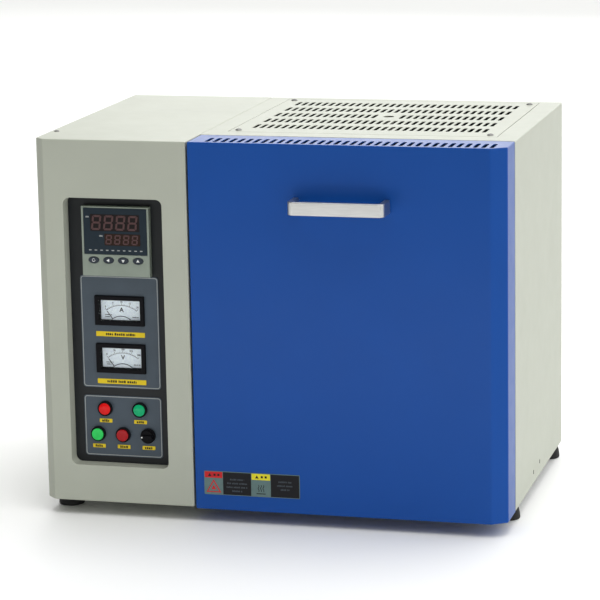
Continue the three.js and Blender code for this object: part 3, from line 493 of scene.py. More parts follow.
# the step that the grille lies on, and the opening under it
grilleSeat = {
    "gap": 0.8 * mm,
    "drop": 0.3 * mm,
    "ledge": (3 * mm, 1.6 * mm, 0.9 * mm), # past the grille, thickness, and lid left above it
    "lip": 9 * mm,
    "depth": 30 * mm,
    # painted shade reaches this share of the gap past the grille's edge
    "shadeShare": 1.2,
}


def grilleBlock(name, grow, bottom, top):
    low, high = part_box("top_grille")
    return addBox(name, (low.x - grow, low.y - grow, bottom), (high.x + grow, high.y + grow, top))


def makeFurnaceCase():
    low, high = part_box("furnace_shell")
    grilleLow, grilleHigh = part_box("top_grille")
    past, thickness, lid = grilleSeat["ledge"]
    case = addBox("furnaceCase", low, high)
    openFaces(case, lambda centre, normal: abs(normal.y) > 0.9 or normal.z < -0.9)
    bevelEdges(case, lambda a, b: min(a.z, b.z) > high.z - near and abs(a.x - b.x) < near,
               casing["edge"], 3)
    thicken(case)
    ledgeTop = grilleLow.z - grilleSeat["drop"]
    combine(case, "UNION", [grilleBlock("grilleLedge", past, ledgeTop - thickness, high.z - lid)])
    seat = grilleBlock("grilleSeat", grilleSeat["gap"], ledgeTop, high.z + overrun)
    window = grilleBlock("grilleWindow", -grilleSeat["lip"], high.z - grilleSeat["depth"],
                         high.z + overrun)
    cutBy(case, seat, window)
    roundEdges(case, casing["easing"])
    settle(case, "housing", "case_enamel", "case", "furnace_shell")
    inCase = looksInside(low, high)
    reach = grilleSeat["shadeShare"] * grilleSeat["gap"]

    def inGap(centre):
        isNear = all(grilleLow[axis] - reach < centre[axis] < grilleHigh[axis] + reach
                     for axis in (0, 1))
        return isNear and centre.z < high.z - casing["easing"]
    # painted shade on the case's inner faces and in the gap round the grille
    paintShadeOnFaces(case, lambda centre, normal: inCase(centre, normal) or inGap(centre))


def spread(low, high, pitch, margin):
    count = math.floor((high - low - 2 * margin) / pitch + 1e-6) + 1 # the last place may just fit
    first = (low + high - (count - 1) * pitch) / 2
    return [first + index * pitch for index in range(count)]


sidePlug = {
    "size": (2.4 * mm, 6 * mm),
    "proud": 0.3 * mm,
    "bed": 1 * mm,
    "roundShare": 0.95,
    "easing": 0.1 * mm,
    "places": ((42 * mm, 18.8 * mm), (-8 * mm, 16.6 * mm)),
}


# two small black plugs low on the right side
def makeSidePlugs():
    low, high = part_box("furnace_shell")
    width, height = (size / 2 for size in sidePlug["size"])
    plugs = []
    for y, rise in sidePlug["places"]:
        z = low.z + rise
        plug = roundedBlock("plug", (high.x - sidePlug["bed"], y - width, z - height),
                            (high.x + sidePlug["proud"], y + width, z + height),
                            sidePlug["roundShare"] * width, 0, 4)
        plugs.append(roundEdges(plug, sidePlug["easing"], 1))
    settle(joinPieces("sidePlugs", plugs), "housing", "black_plastic", "black")


grille = {
    "slot": (5.6 * mm, 34.4 * mm),
    "cutter": 6 * mm,
    "columnPitch": 10.05 * mm,
    "rowPitch": 56.5 * mm,
    "columnMargin": 25 * mm,
    "rowMargin": 50 * mm,
    "rowShift": 4.5 * mm,
    "flueRadius": 7.85 * mm,
    "flueClear": 1.4, # slot pitches left plain on each side of the flue
    "easing": 0.3 * mm,
    "screwInset": (11 * mm, 14 * mm),
}


def makeGrille():
    low, high, centre = boxOf("top_grille")
    flue = boxOf("flue_tube")[2]
    panel = addBox("topGrille", low, high)
    width, length = grille["slot"]
    pattern = slotCutter("slotPattern", (0, 0, centre.z), (width, length, grille["cutter"]), 2, 1)
    slots = []
    for rowY in spread(low.y, high.y, grille["rowPitch"], grille["rowMargin"]):
        for columnX in spread(low.x, high.x, grille["columnPitch"], grille["columnMargin"]):
            slotY = rowY + grille["rowShift"]
            nearFlue = (abs(slotY - flue.y) < length / 2 + grille["flueRadius"]
                        and abs(columnX - flue.x) < grille["flueClear"] * grille["columnPitch"])
            if not nearFlue:
                slots.append(copyOf(pattern, "slot", (columnX, slotY, 0)))
    bpy.data.objects.remove(pattern)
    hole = addRod("flueHole", grille["flueRadius"], (flue.x, flue.y, low.z - overrun),
                  (flue.x, flue.y, high.z + overrun), 40)
    cutBy(panel, joinPieces("slots", slots), hole)
    roundEdges(panel, grille["easing"])
    settle(panel, "housing", "case_enamel", "case", "top_grille")
    insetX, insetY = grille["screwInset"]
    return [Vector((x, y, high.z)) for x in (low.x + insetX, high.x - insetX)
            for y in (low.y + insetY, high.y - insetY)]


# screws: one pan head is modelled once and copied

screw = {
    "radius": 4.7 * mm,
    "height": 2.3 * mm,
    "cross": (5.2 * mm, 1.1 * mm, 1.3 * mm),
    "easing": 0.12 * mm,
    "cabinetTop": (9.8 * mm, 69 * mm), # from the cabinet's left and front
    "coverInset": (9 * mm, 30 * mm, 12 * mm), # from a cover's sides, foot and top
    "covers": {"rearCoverScrews": ("cabinet_rear_cover", 1), "rearPanelScrews": ("rear_panel", 1),
               "frontFrameScrews": ("front_frame", -1)},
    "doorInset": 12 * mm,
    "doorHeights": (0.12, 0.26, 0.38, 0.51),
}


def makeScrewHead():
    bpy.ops.mesh.primitive_uv_sphere_add(segments=20, ring_count=12, radius=screw["radius"],
                                         scale=(1, 1, screw["height"] / screw["radius"]))
    head = takeNew("screwHead")
    sliceOff(head, (0, 0, 0), (0, 0, -1))
    length, width, depth = screw["cross"]
    for x, y in ((length, width), (width, length)):
        cutBy(head, addBox("crossSlot", (-x / 2, -y / 2, screw["height"] - depth),
                           (x / 2, y / 2, screw["height"] + overrun)))
    return roundEdges(head, screw["easing"], 1)


def placeScrews(name, head, places, facing, body, size=1.0):
    turn = Vector(facing).to_track_quat("Z", "Y").to_matrix().to_4x4()
    heads = []
    for place in places:
        twin = copyOf(head, "screw")
        spin = Matrix.Rotation(random.uniform(0, math.pi), 4, "Z")
        twin.data.transform(Matrix.Translation(place) @ turn @ spin @ Matrix.Scale(size, 4))
        heads.append(twin)
    return settle(joinPieces(name, heads), body, "zinc_steel", "steel")


def makeScrews(grilleSpots):
    head = makeScrewHead()
    placeScrews("grilleScrews", head, grilleSpots, (0, 0, 1), "housing")
    low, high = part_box("cabinet_shell")
    across, back = screw["cabinetTop"]
    spot = Vector((low.x + across, low.y + back, high.z))
    placeScrews("cabinetTopScrew", head, [spot], (0, 0, 1), "housing", 0.8)
    inset, foot, top = screw["coverInset"]
    for name, (node, facing) in screw["covers"].items():
        low, high, centre = boxOf(node)
        y = high.y if facing > 0 else low.y
        spots = [Vector((x, y, z)) for x in (low.x + inset, high.x - inset)
                 for z in (low.z + foot, centre.z, high.z - top)]
        placeScrews(name, head, spots, (0, facing, 0), "housing")
    low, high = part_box("door_inner_plate")
    spots = [Vector((x, high.y, z)) for x in (low.x + screw["doorInset"], high.x - screw["doorInset"])
             for z in screw["doorHeights"]]
    placeScrews("doorPlateScrews", head, spots, (0, 1, 0), "door", 0.9)
    bpy.data.objects.remove(head)


# door

door = {
    "slot": (6 * mm, 34 * mm),
    "cutter": 8 * mm,
    "slotPitch": 11.05 * mm,
    "slotMargin": 21 * mm,
    "slotShift": 2.5 * mm,
    "slotSetback": 23 * mm,
    "armNotch": 10 * mm,
    "armInset": 3 * mm, # from the arm's outer side to its middle
    "notchSetback": 6 * mm,
}


def makeDoorSkin():
    low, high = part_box("door_shell")
    skin = foldedBox("doorSkin", low, high, casing["doorChamfer"], 1)
    pattern = slotCutter("slotPattern", (0, low.y + door["slotSetback"], high.z),
                         (*door["slot"], door["cutter"]), 2, 1)
    slots = [copyOf(pattern, "slot", (x + door["slotShift"], 0, 0))
             for x in spread(low.x, high.x, door["slotPitch"], door["slotMargin"])]
    bpy.data.objects.remove(pattern)
    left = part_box("hinge_arm_left")[0].x + door["armInset"]
    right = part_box("hinge_arm_right")[1].x - door["armInset"]
    notches = []
    for x in (spanAt(left, door["armNotch"]), spanAt(right, door["armNotch"])):
        notches.append(addBox("armNotch", (x[0], low.y + door["notchSetback"], low.z - overrun),
                              (x[1], high.y + overrun, low.z + overrun)))
    cutBy(skin, joinPieces("slots", slots), *notches)
    roundEdges(skin, casing["easing"])
    settle(skin, "door", "door_enamel", "door", "door_shell")
    # painted shade on the door skin's inner faces, seen through the slots
    paintShadeOnFaces(skin, looksInside(low, high))


handleStyle = {"bar": 8 * mm, "radius": 9 * mm, "innerRadius": 3.5 * mm, "easing": 1.1 * mm}


def makeHandle():
    low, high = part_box("door_handle")
    bar = handleStyle["bar"]
    isUpright = runsAlong(2)
    grip = addBox("pullHandle", low, high)
    bevelEdges(grip, lambda a, b: isUpright(a, b) and a.y < low.y + near, handleStyle["radius"], 8)
    space = addBox("fingerSpace", (low.x + bar, low.y + bar, low.z - overrun),
                   (high.x - bar, high.y + overrun, high.z + overrun))
    bevelEdges(space, lambda a, b: isUpright(a, b) and a.y < low.y + bar + near,
               handleStyle["innerRadius"], 5)
    cutBy(grip, space)
    roundEdges(grip, handleStyle["easing"], 3)
    settle(grip, "door", "handle_aluminium", "handle", "door_handle")


placard = {
    "low": (-94.5 * mm, 39.5 * mm),
    "high": (40.7 * mm, 72.8 * mm),
    "dividers": (-68.1 * mm, -27.5 * mm, -0.6 * mm),
    "gap": 0.05 * mm, # behind the plate
    "thickness": 0.5 * mm,
    "radius": 1.5 * mm,
    "easing": 0.12 * mm,
    "raise": 0.18 * mm,
    "border": 0.9 * mm,
    "headHeight": 9.5 * mm,
    "mark": (-5.5 * mm, -0.7 * mm, 5 * mm), # across, down and size of a head's triangle
    "squares": (0, 5.5 * mm),
    "squareSize": 3 * mm,
    "signRise": 9.5 * mm,
    "signSizes": (21 * mm, 16 * mm, 7 * mm), # triangle, its middle, and the core
    "heatRise": 4 * mm,
    "letter": 2.4 * mm,
    "rowPitch": 5.4 * mm,
    "rows": {1: (20 * mm, 28 * mm, 30 * mm, 14 * mm), 3: (18 * mm, 22 * mm, 12 * mm)},
}


def frontPlate(name, x, z, y, thickness, radius=0.0):
    corners = ((x[0], y - thickness, z[0]), (x[1], y, z[1]))
    if radius:
        return roundedBlock(name, *corners, radius, 1, 4)
    return addBox(name, *corners)


def pressFlat(obj, y, factor):
    for spot in obj.data.vertices:
        spot.co.y = y + (spot.co.y - y) * factor
    return obj


def triangleSign(name, x, z, size, y, thickness):
    return addRod(name, size / math.sqrt(3), (x, y - thickness, z), (x, y, z), 3)


# a centred row of small blocks, one for each letter of small print
def wordRow(name, centreX, z, width, y, thickness):
    blocks = []
    x = centreX - width / 2
    height = z[1] - z[0]
    while x < centreX + width / 2:
        letters = random.randint(3, 7)
        for letter in range(letters):
            end = min(x + random.uniform(0.45, 0.75) * height, centreX + width / 2)
            drop = random.uniform(0, 0.25) * height
            if end - x > 0.15 * height:
                blocks.append(frontPlate("letter", (x, end), (z[0], z[1] - drop), y, thickness))
            x = end + 0.22 * height
        x += 0.45 * height
    return joinPieces(name, blocks)


# a printed line: a fine wire pressed nearly flat
def inkLine(name, points, halfWidth, y, closed=False, depth=0.2):
    return pressFlat(addWire(name, points, halfWidth, closed, 1), y, depth)


heat = {
    "columns": (-3.4 * mm, 0, 3.4 * mm),
    "sway": 0.7 * mm,
    "foot": 3.2 * mm,
    "step": 0.8 * mm,
    "steps": 12,
    "halfWidth": 0.5 * mm,
    "bar": (13 * mm, 1.1 * mm, 0.1 * mm),
}


# three rising waves over a bar, the usual sign for a hot surface
def heatSign(centreX, low, y):
    pieces = []
    for column in heat["columns"]:
        wave = [(centreX + column + heat["sway"] * math.sin(step * math.pi / 4), y,
                 low + heat["foot"] + heat["step"] * step) for step in range(heat["steps"] + 1)]
        pieces.append(inkLine("wave", wave, heat["halfWidth"], y))
    width, height, thickness = heat["bar"]
    return [*pieces, frontPlate("bar", spanAt(centreX, width), (low, low + height), y, thickness)]


# a bordered strip of two pictures, each with a coloured head, and two dark cells of small print
def makePlacard():
    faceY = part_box("door_shell")[0].y - placard["gap"]
    (left, bottom), (right, top) = placard["low"], placard["high"]
    base = frontPlate("placardBase", (left, right), (bottom, top), faceY, placard["thickness"],
                      placard["radius"])
    roundEdges(base, placard["easing"], 1)
    settle(base, "door", "black_plate", "inkSlate")
    raised = placard["raise"]
    cellY = faceY - placard["thickness"]
    inkY = cellY - raised
    rim = placard["border"]
    edges = [left, *placard["dividers"], right]
    band = top - placard["headHeight"]
    middle = (band + top - rim) / 2
    markX, markZ, markSize = placard["mark"]
    signSize, innerSize, coreSize = placard["signSizes"]
    signZ = bottom + placard["signRise"]
    layers = {"inkRed": [], "inkLemon": [], "inkBlack": [], "inkDim": [], "inkSlate": []}
    for index in range(4):
        x = (edges[index] + (rim if index == 0 else rim / 2),
             edges[index + 1] - (rim if index == 3 else rim / 2))
        centreX = sum(x) / 2
        if index % 2:
            cellZ = (bottom + rim, top - rim)
            layers["inkBlack"].append(frontPlate("cell", x, cellZ, cellY, raised))
            for row, width in enumerate(placard["rows"][index]):
                high = band - row * placard["rowPitch"]
                layers["inkDim"].append(wordRow("words", centreX, (high - placard["letter"], high),
                                                width, inkY, raised / 2))
            continue
        tone = "inkRed" if index == 0 else "inkLemon"
        layers[tone].append(frontPlate("head", x, (band, top - rim), cellY, raised))
        marks = [triangleSign("mark", centreX + markX, middle + markZ, markSize, inkY, raised / 2)]
        for square in placard["squares"]:
            start = centreX + square
            marks.append(frontPlate("mark", (start, start + placard["squareSize"]),
                                    spanAt(middle, placard["squareSize"]), inkY, raised / 2))
        layers["inkBlack"] += marks
        if index == 0:
            layers["inkRed"] += [
                triangleSign("sign", centreX, signZ, signSize, cellY, raised),
                triangleSign("core", centreX, signZ, coreSize, inkY - raised, raised / 2)]
            layers["inkSlate"].append(triangleSign("inner", centreX, signZ, innerSize, inkY, raised))
        else:
            layers["inkBlack"] += heatSign(centreX, bottom + placard["heatRise"],
                                           cellY - placard["gap"])
    for tone, pieces in layers.items():
        settle(joinPieces("placard" + tone[3:], pieces), "door", "black_plate", tone)


# instrument panel

panel = {
    "easing": 0.12 * mm,
    "lineWidth": 1.2 * mm,
    "lineInset": 1.6 * mm,
    "overlayRadius": 4.5 * mm,
    "strips": (("ammeter_dial", -18.8 * mm), ("voltmeter_dial", -18.5 * mm)),
    "stripSize": (70.3 * mm, 6.9 * mm),
    "labelSize": (18.5 * mm, 5.3 * mm),
    "labelDrop": 17.6 * mm,
    "labelThickness": 0.25 * mm,
    "labelRadius": 0.8 * mm,
    "labelEasing": 0.06 * mm,
    "printHeight": 3.5 * mm,
    "printShare": 0.6,
    "printThickness": 0.05 * mm,
}


def roundedLoop(x, z, y, radius, steps=6):
    points = []
    corners = ((x[1] - radius, z[0] + radius, -90), (x[1] - radius, z[1] - radius, 0),
               (x[0] + radius, z[1] - radius, 90), (x[0] + radius, z[0] + radius, 180))
    for centreX, centreZ, start in corners:
        for step in range(steps + 1):
            angle = math.radians(start + 90 * step / steps)
            points.append((centreX + radius * math.cos(angle), y, centreZ + radius * math.sin(angle)))
    return points


def makeOverlay(node, name):
    low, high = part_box(node)
    overlay = easedCopy(name, node, panel["easing"], 1)
    settle(overlay, "housing", "overlay_grey", "overlay", node)
    inset = panel["lineInset"]
    y = low.y - inkGap
    loop = roundedLoop((low.x + inset, high.x - inset), (low.z + inset, high.z - inset), y,
                       panel["overlayRadius"] - 0.6 * inset)
    line = inkLine(name + "Line", loop, panel["lineWidth"] / 2, y, True, 0.15)
    settle(line, "housing", "overlay_grey", "inkLine")


def makeLabels():
    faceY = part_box("meter_overlay")[0].y - inkGap
    places = []
    for node, rise in panel["strips"]:
        low, high, centre = boxOf(node)
        places.append((centre.x, low.z + rise, *panel["stripSize"]))
    for node in rings:
        centre = boxOf(node)[2]
        places.append((centre.x, centre.z - panel["labelDrop"], *panel["labelSize"]))
    labels = []
    prints = []
    for x, z, width, height in places:
        labels.append(frontPlate("label", spanAt(x, width), spanAt(z, height), faceY,
                                 panel["labelThickness"], panel["labelRadius"]))
        prints.append(wordRow("print", x, spanAt(z, panel["printHeight"]), panel["printShare"] * width,
                              faceY - panel["labelThickness"], panel["printThickness"]))
    strips = roundEdges(joinPieces("nameStrips", labels), panel["labelEasing"], 1)
    settle(strips, "housing", "overlay_grey", "inkYellow")
    settle(joinPieces("stripPrint", prints), "housing", "overlay_grey", "inkBlack")


# temperature controller

controller = {
    "easing": 1.0 * mm,
    "screenRadius": 1.2 * mm,
    "screenEasing": 0.2 * mm,
    "upperDigits": {"left": -34.5 * mm, "low": 15.6 * mm, "width": 13.2 * mm, "height": 20.5 * mm,
                    "pitch": 17.2 * mm, "bar": 2.7 * mm, "right": 34.8 * mm, "pane": "display"},
    "lowerDigits": {"left": -14.5 * mm, "low": -3.9 * mm, "width": 8.6 * mm, "height": 13.2 * mm,
                    "pitch": 12.4 * mm, "bar": 1.9 * mm, "right": 35.6 * mm, "pane": "displayWarm"},
    "digits": 4,
    "slant": 0.12,
    "barGap": 0.25 * mm,
    "barRise": 0.1 * mm,
    "paneMargin": (1 * mm, 1.4 * mm),
    "paneRise": 0.12 * mm,
    "paneStep": 0.13 * mm,
    "tags": ((-39.5 * mm, 32.5 * mm, 4.5 * mm), (-20.5 * mm, 6.5 * mm, 4.5 * mm)),
    "tagHeight": 2.2 * mm,
    "legend": {"drop": 12.9 * mm, "size": (3.6 * mm, 1.3 * mm), "pitch": 8.1 * mm, "count": 10},
    "markRise": 0.06 * mm,
}


# a seven-bar digit with all of its bars showing
def sevenBars(style, left, low, y):
    width, height, bar = style["width"], style["height"], style["bar"]
    gap, rise = controller["barGap"], controller["barRise"]
    half = height / 2
    bars = []
    for level in (0, half - bar / 2, height - bar):
        bars.append(frontPlate("bar", (left + bar * 0.6, left + width - bar * 0.6),
                               (low + level, low + level + bar), y, rise))
    for column in (left, left + width - bar):
        for bottom in (0, half):
            z = (low + bottom + bar / 2 + gap, low + bottom + half - bar / 2 + gap)
            bars.append(frontPlate("bar", (column, column + bar), z, y, rise))
    return bars


def makeDigits(centre, y):
    side, foot = controller["paneMargin"]
    for name in ("upperDigits", "lowerDigits"):
        style = controller[name]
        left = centre.x + style["left"]
        low = centre.z + style["low"]
        pane = roundedBlock(name + "Pane", (left - side, y - controller["paneRise"], low - foot),
                            (centre.x + style["right"], y, low + style["height"] + foot), side, 1, 3)
        settle(pane, "housing", "window_plastic", style["pane"])
        y -= controller["paneStep"]
        bars = []
        for index in range(controller["digits"]):
            bars += sevenBars(style, left + index * style["pitch"], low, y)
        digits = joinPieces(name, bars)
        for spot in digits.data.vertices:
            spot.co.x += (spot.co.z - low) * controller["slant"]
        settle(digits, "housing", "window_plastic", "digits")


def makeController():
    centre = boxOf("controller_case")[2]
    case = easedCopy("controllerBezel", "controller_case", controller["easing"], 3, 60)
    settle(case, "housing", "bezel_plastic", "bezel", "controller_case")
    low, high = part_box("controller_window")
    screen = roundedBlock("controllerScreen", low, high, controller["screenRadius"], 1, 3)
    roundEdges(screen, controller["screenEasing"])
    settle(screen, "housing", "window_plastic", "screen", "controller_window")
    faceY = low.y - inkGap
    makeDigits(centre, faceY)
    legend = controller["legend"]
    width, height = legend["size"]
    z = centre.z - legend["drop"]
    rise = controller["markRise"]
    marks = []
    for index in range(legend["count"]):
        x = centre.x + (index - (legend["count"] - 1) / 2) * legend["pitch"]
        marks.append(frontPlate("mark", spanAt(x, width), (z, z + height), faceY, rise))
    for across, up, width in controller["tags"]:
        tagZ = (centre.z + up, centre.z + up + controller["tagHeight"])
        marks.append(wordRow("mark", centre.x + across, tagZ, width, faceY, rise))
    settle(joinPieces("screenMarks", marks), "housing", "window_plastic", "inkLine")


keyStyle = {
    "easing": 0.7 * mm,
    "symbol": 4.6 * mm,
    "ringShare": 0.42, # of the symbol's size
    "line": 0.35 * mm,
    "rise": 0.06 * mm,
}


def keySymbol(kind, centre, y):
    size = keyStyle["symbol"]
    if kind == "set":
        ring = [aroundPivot(centre, size * keyStyle["ringShare"], 90 - angle, y)
                for angle in range(30, 361, 15)]
        return inkLine("symbol", ring, keyStyle["line"], y)
    arrow = addRod("symbol", size / math.sqrt(3), (0, -keyStyle["rise"], 0), (0, 0, 0), 3)
    highest = max(arrow.data.vertices, key=lambda spot: Vector((spot.co.x, spot.co.z)).length).co
    heading = math.atan2(highest.z, highest.x)
    wanted = {"shift": math.pi, "down": -math.pi / 2, "up": math.pi / 2}[kind]
    arrow.data.transform(Matrix.Rotation(heading - wanted, 4, "Y"))
    arrow.data.transform(Matrix.Translation((centre.x, y, centre.z)))
    return arrow


def makeKeys():
    for kind in ("set", "shift", "down", "up"):
        node = "key_" + kind
        low, high, centre = boxOf(node)
        bpy.ops.mesh.primitive_cylinder_add(
            vertices=40, radius=0.5, depth=1, location=centre, rotation=(math.pi / 2, 0, 0),
            scale=(high.x - low.x, high.z - low.z, high.y - low.y))
        key = roundEdges(takeNew(kind + "Key"), keyStyle["easing"], 4)
        settle(key, kind + "_key", "key_plastic", "key", node)
        symbol = keySymbol(kind, centre, low.y - inkGap)
        symbol.name = kind + "Symbol"
        settle(symbol, kind + "_key", "key_plastic", "inkWhite")


# panel meters

meter = {
    "easing": 0.9 * mm,
    "windowRim": 0.6 * mm, # window walls, just outside the dial card
    "card": (0.8 * mm, 0.15 * mm), # corner radius and easing
    "needleEasing": 0.08 * mm,
    "glassSetback": 1.2 * mm,
    "glassThickness": 1.2 * mm,
    "glassInset": 0.1 * mm,
    "glassEasing": 0.2 * mm,
    "arcRadius": 35.9 * mm,
    "arcWidth": 0.6 * mm,
    "arcSteps": 30,
    "sweep": (-37, 37),
    "majorTicks": 5,
    "minorPerMajor": 5,
    "majorTick": (3.2 * mm, 0.28 * mm),
    "minorTick": (1.8 * mm, 0.18 * mm),
    "textLift": 4.9 * mm,
    "textSpread": 0.93,
    "textSize": 3.3 * mm,
    "textWeight": 0.09 * mm,
    "textRise": 0.04 * mm,
    "textDepth": 0.03 * mm,
    "unitSize": 8.5 * mm,
    "unitWeight": 0.22 * mm,
    "unitDrop": 0.5 * mm,
    "smallPrint": ((-19 * mm, 6.2 * mm, 10 * mm), (-20 * mm, 3.4 * mm, 7 * mm),
                   (20 * mm, 3.4 * mm, 9 * mm)),
    "smallHeight": 1.5 * mm,
    "coverRadius": 20.75 * mm,
    "coverSetback": 0.7 * mm, # from the needle's front to the cover's back
    "coverFoot": 0.2 * mm,
    "coverThickness": 1.2 * mm,
    "coverEasing": 0.25 * mm,
    "coverRim": (0.3 * mm, 0.6 * mm, 0.55 * mm), # past the cover, towards the front, and radius
    "rimSteps": 12,
}


def aroundPivot(pivot, radius, degrees, y):
    angle = math.radians(degrees)
    return Vector((pivot.x + radius * math.sin(angle), y, pivot.z + radius * math.cos(angle)))


def printText(name, body, place, size, weight):
    bpy.ops.object.text_add(location=place, rotation=(math.pi / 2, 0, 0))
    text = bpy.context.object
    text.data.body = body
    text.data.size = size
    text.data.align_x = "CENTER"
    text.data.align_y = "CENTER"
    text.data.extrude = meter["textDepth"]
    text.data.offset = weight
    makeActive(text)
    bpy.ops.object.convert(target="MESH")
    return takeNew(name)


def makeScale(name, pivot, y, numbers, unit, unitZ, dialFoot):
    first, last = meter["sweep"]
    radius = meter["arcRadius"]
    arcSteps = meter["arcSteps"]
    arc = [aroundPivot(pivot, radius, first + (last - first) * step / arcSteps, y)
           for step in range(arcSteps + 1)]
    inks = [inkLine("arc", arc, meter["arcWidth"] / 2, y)]
    steps = (meter["majorTicks"] - 1) * meter["minorPerMajor"]
    for step in range(steps + 1):
        degrees = first + (last - first) * step / steps
        isMajor = step % meter["minorPerMajor"] == 0
        length, half = meter["majorTick"] if isMajor else meter["minorTick"]
        ends = [aroundPivot(pivot, radius, degrees, y), aroundPivot(pivot, radius + length, degrees, y)]
        inks.append(inkLine("tick", ends, half, y, depth=0.3))
    for index, number in enumerate(numbers):
        degrees = meter["textSpread"] * (first + (last - first) * index / (len(numbers) - 1))
        place = aroundPivot(pivot, radius + meter["textLift"], degrees, y - meter["textRise"])
        inks.append(printText("number", number, place, meter["textSize"], meter["textWeight"]))
    inks.append(printText("unit", unit, (pivot.x, y, unitZ), meter["unitSize"], meter["unitWeight"]))
    for across, rise, width in meter["smallPrint"]:
        z = (dialFoot + rise, dialFoot + rise + meter["smallHeight"])
        inks.append(wordRow("print", pivot.x + across, z, width, y, meter["textRise"]))
    settle(joinPieces(name, inks), "housing", "dial_white", "inkBlack")


# the white cover over the needle's pivot, with a dark rim
def makePivotCover(kind, pivot, back, foot):
    radius, thickness = meter["coverRadius"], meter["coverThickness"]
    cover = addRod(kind + "Cover", radius, (pivot.x, back - thickness, pivot.z),
                   (pivot.x, back, pivot.z), 96)
    sliceOff(cover, (0, 0, foot), (0, 0, -1))
    roundEdges(cover, meter["coverEasing"])
    settle(cover, "housing", "dial_white", "dial")
    past, forward, rimRadius = meter["coverRim"]
    steps = meter["rimSteps"]
    reach = math.degrees(math.acos((foot - pivot.z) / radius)) - 1
    arc = [aroundPivot(pivot, radius + past, reach * step / steps, back - forward)
           for step in range(-steps, steps + 1)]
    settle(addWire(kind + "CoverRim", arc, rimRadius), "housing", "black_plastic", "black")


def makeMeter(kind, numbers, unit):
    case = easedCopy(kind + "Frame", kind + "_case", meter["easing"], 3, 60)
    settle(case, "housing", "black_plastic", "black", kind + "_case")
    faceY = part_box(kind + "_case")[0].y
    low, high, centre = boxOf(kind + "_dial")
    rim = meter["windowRim"]
    # painted shade on the window's inner walls
    paintShadeOnFaces(case, lambda middle, normal: (
        middle.y > faceY + rim
        and all(low[axis] - rim < middle[axis] < high[axis] + rim for axis in (0, 2))))
    radius, easing = meter["card"]
    card = roundEdges(roundedBlock(kind + "Card", low, high, radius, 1, 3), easing, 1)
    settle(card, "housing", "dial_white", "dial", kind + "_dial")
    pivot = next(Vector(joint["pos_m"]) for joint in frame["joints"]
                 if joint["name"] == kind + "_swing")
    makeScale(kind + "Scale", pivot, low.y - inkGap, numbers, unit, centre.z - meter["unitDrop"],
              low.z)
    needle = easedCopy(kind + "Pointer", kind + "_needle", meter["needleEasing"])
    settle(needle, kind + "_pointer", "needle_black", "inkBlack", kind + "_needle")
    makePivotCover(kind, pivot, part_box(kind + "_needle")[0].y + meter["coverSetback"],
                   low.z + meter["coverFoot"])
    inset = meter["glassInset"]
    paneY = faceY + meter["glassSetback"]
    pane = addBox(kind + "Pane", (low.x + inset, paneY, low.z + inset),
                  (high.x - inset, paneY + meter["glassThickness"], high.z - inset))
    roundEdges(pane, meter["glassEasing"])
    settle(pane, "housing", "window_plastic", "glass")


# lamps, buttons and selector

rings = {
    "power_lamp_ring": "powerLampRing",
    "heat_lamp_ring": "heatLampRing",
    "start_button_ring": "startRing",
    "stop_button_ring": "stopRing",
    "selector_ring": "selectorRing",
}
capStyle = {
    "ring": 0.5 * mm,
    "head": 2.6 * mm,
    "insets": 0.19,
    "rises": (0.42, 0.3, 0.18, 0.1), # shares of the crown
    "easing": 0.35 * mm,
    "stemRadius": 4.8 * mm,
    "stemEasing": 0.4 * mm,
}
caps = {
    "power_lamp_lens": ("housing", "red_plastic", "red", 1.8 * mm),
    "heat_lamp_lens": ("housing", "green_plastic", "green", 1.8 * mm),
    "start_button_cap": ("start_button", "green_plastic", "greenLit", 0.6 * mm),
    "stop_button_cap": ("stop_button", "red_plastic", "darkRed", 0.6 * mm),
}


def makeCap(node, body, slotName, finish, crown):
    low, high, centre = boxOf(node)
    name = camelName(node)
    radius = (high.x - low.x) / 2
    headBack = low.y + capStyle["head"]
    cap = addRod(name, radius, (centre.x, headBack, centre.z), (centre.x, low.y + crown, centre.z), 56)
    pickFaces(cap, lambda middle, normal: normal.y < -0.9)
    for rise in capStyle["rises"]:
        bpy.ops.mesh.inset(thickness=radius * capStyle["insets"])
        bpy.ops.transform.translate(value=(0, -crown * rise, 0))
    editDone()
    roundEdges(cap, capStyle["easing"], 2, 60)
    stem = addRod("stem", capStyle["stemRadius"], (centre.x, headBack + inkGap, centre.z),
                  (centre.x, high.y, centre.z), 24)
    roundEdges(stem, capStyle["stemEasing"], 2, 60)
    settle(joinPieces(name, [cap, stem]), body, slotName, finish, node)


knob = {
    "easing": 0.7 * mm,
    "dot": (6 * mm, 1.1 * mm, 0.1 * mm, 0.04 * mm), # left, radius, rise and easing
}


def makeSelector():
    low, high, centre = boxOf("selector_knob")
    grip = easedCopy("selectorKnob", "selector_knob", knob["easing"], 3, 45)
    settle(grip, "selector", "black_plastic", "black", "selector_knob")
    left, radius, rise, easing = knob["dot"]
    dot = addRod("selectorDot", radius, (centre.x - left, low.y - rise, centre.z),
                 (centre.x - left, low.y, centre.z), 24)
    settle(roundEdges(dot, easing, 1), "selector", "black_plastic", "inkWhite")


def makeControls():
    for node, name in rings.items():
        settle(easedCopy(name, node, capStyle["ring"], 3), "housing", "black_plastic", "black", node)
    for node, cap in caps.items():
        makeCap(node, *cap)
    makeSelector()


# feet

foot = {"topRadius": 11.5 * mm, "rings": 6, "fullness": 2.2, "edge": 1.5 * mm}


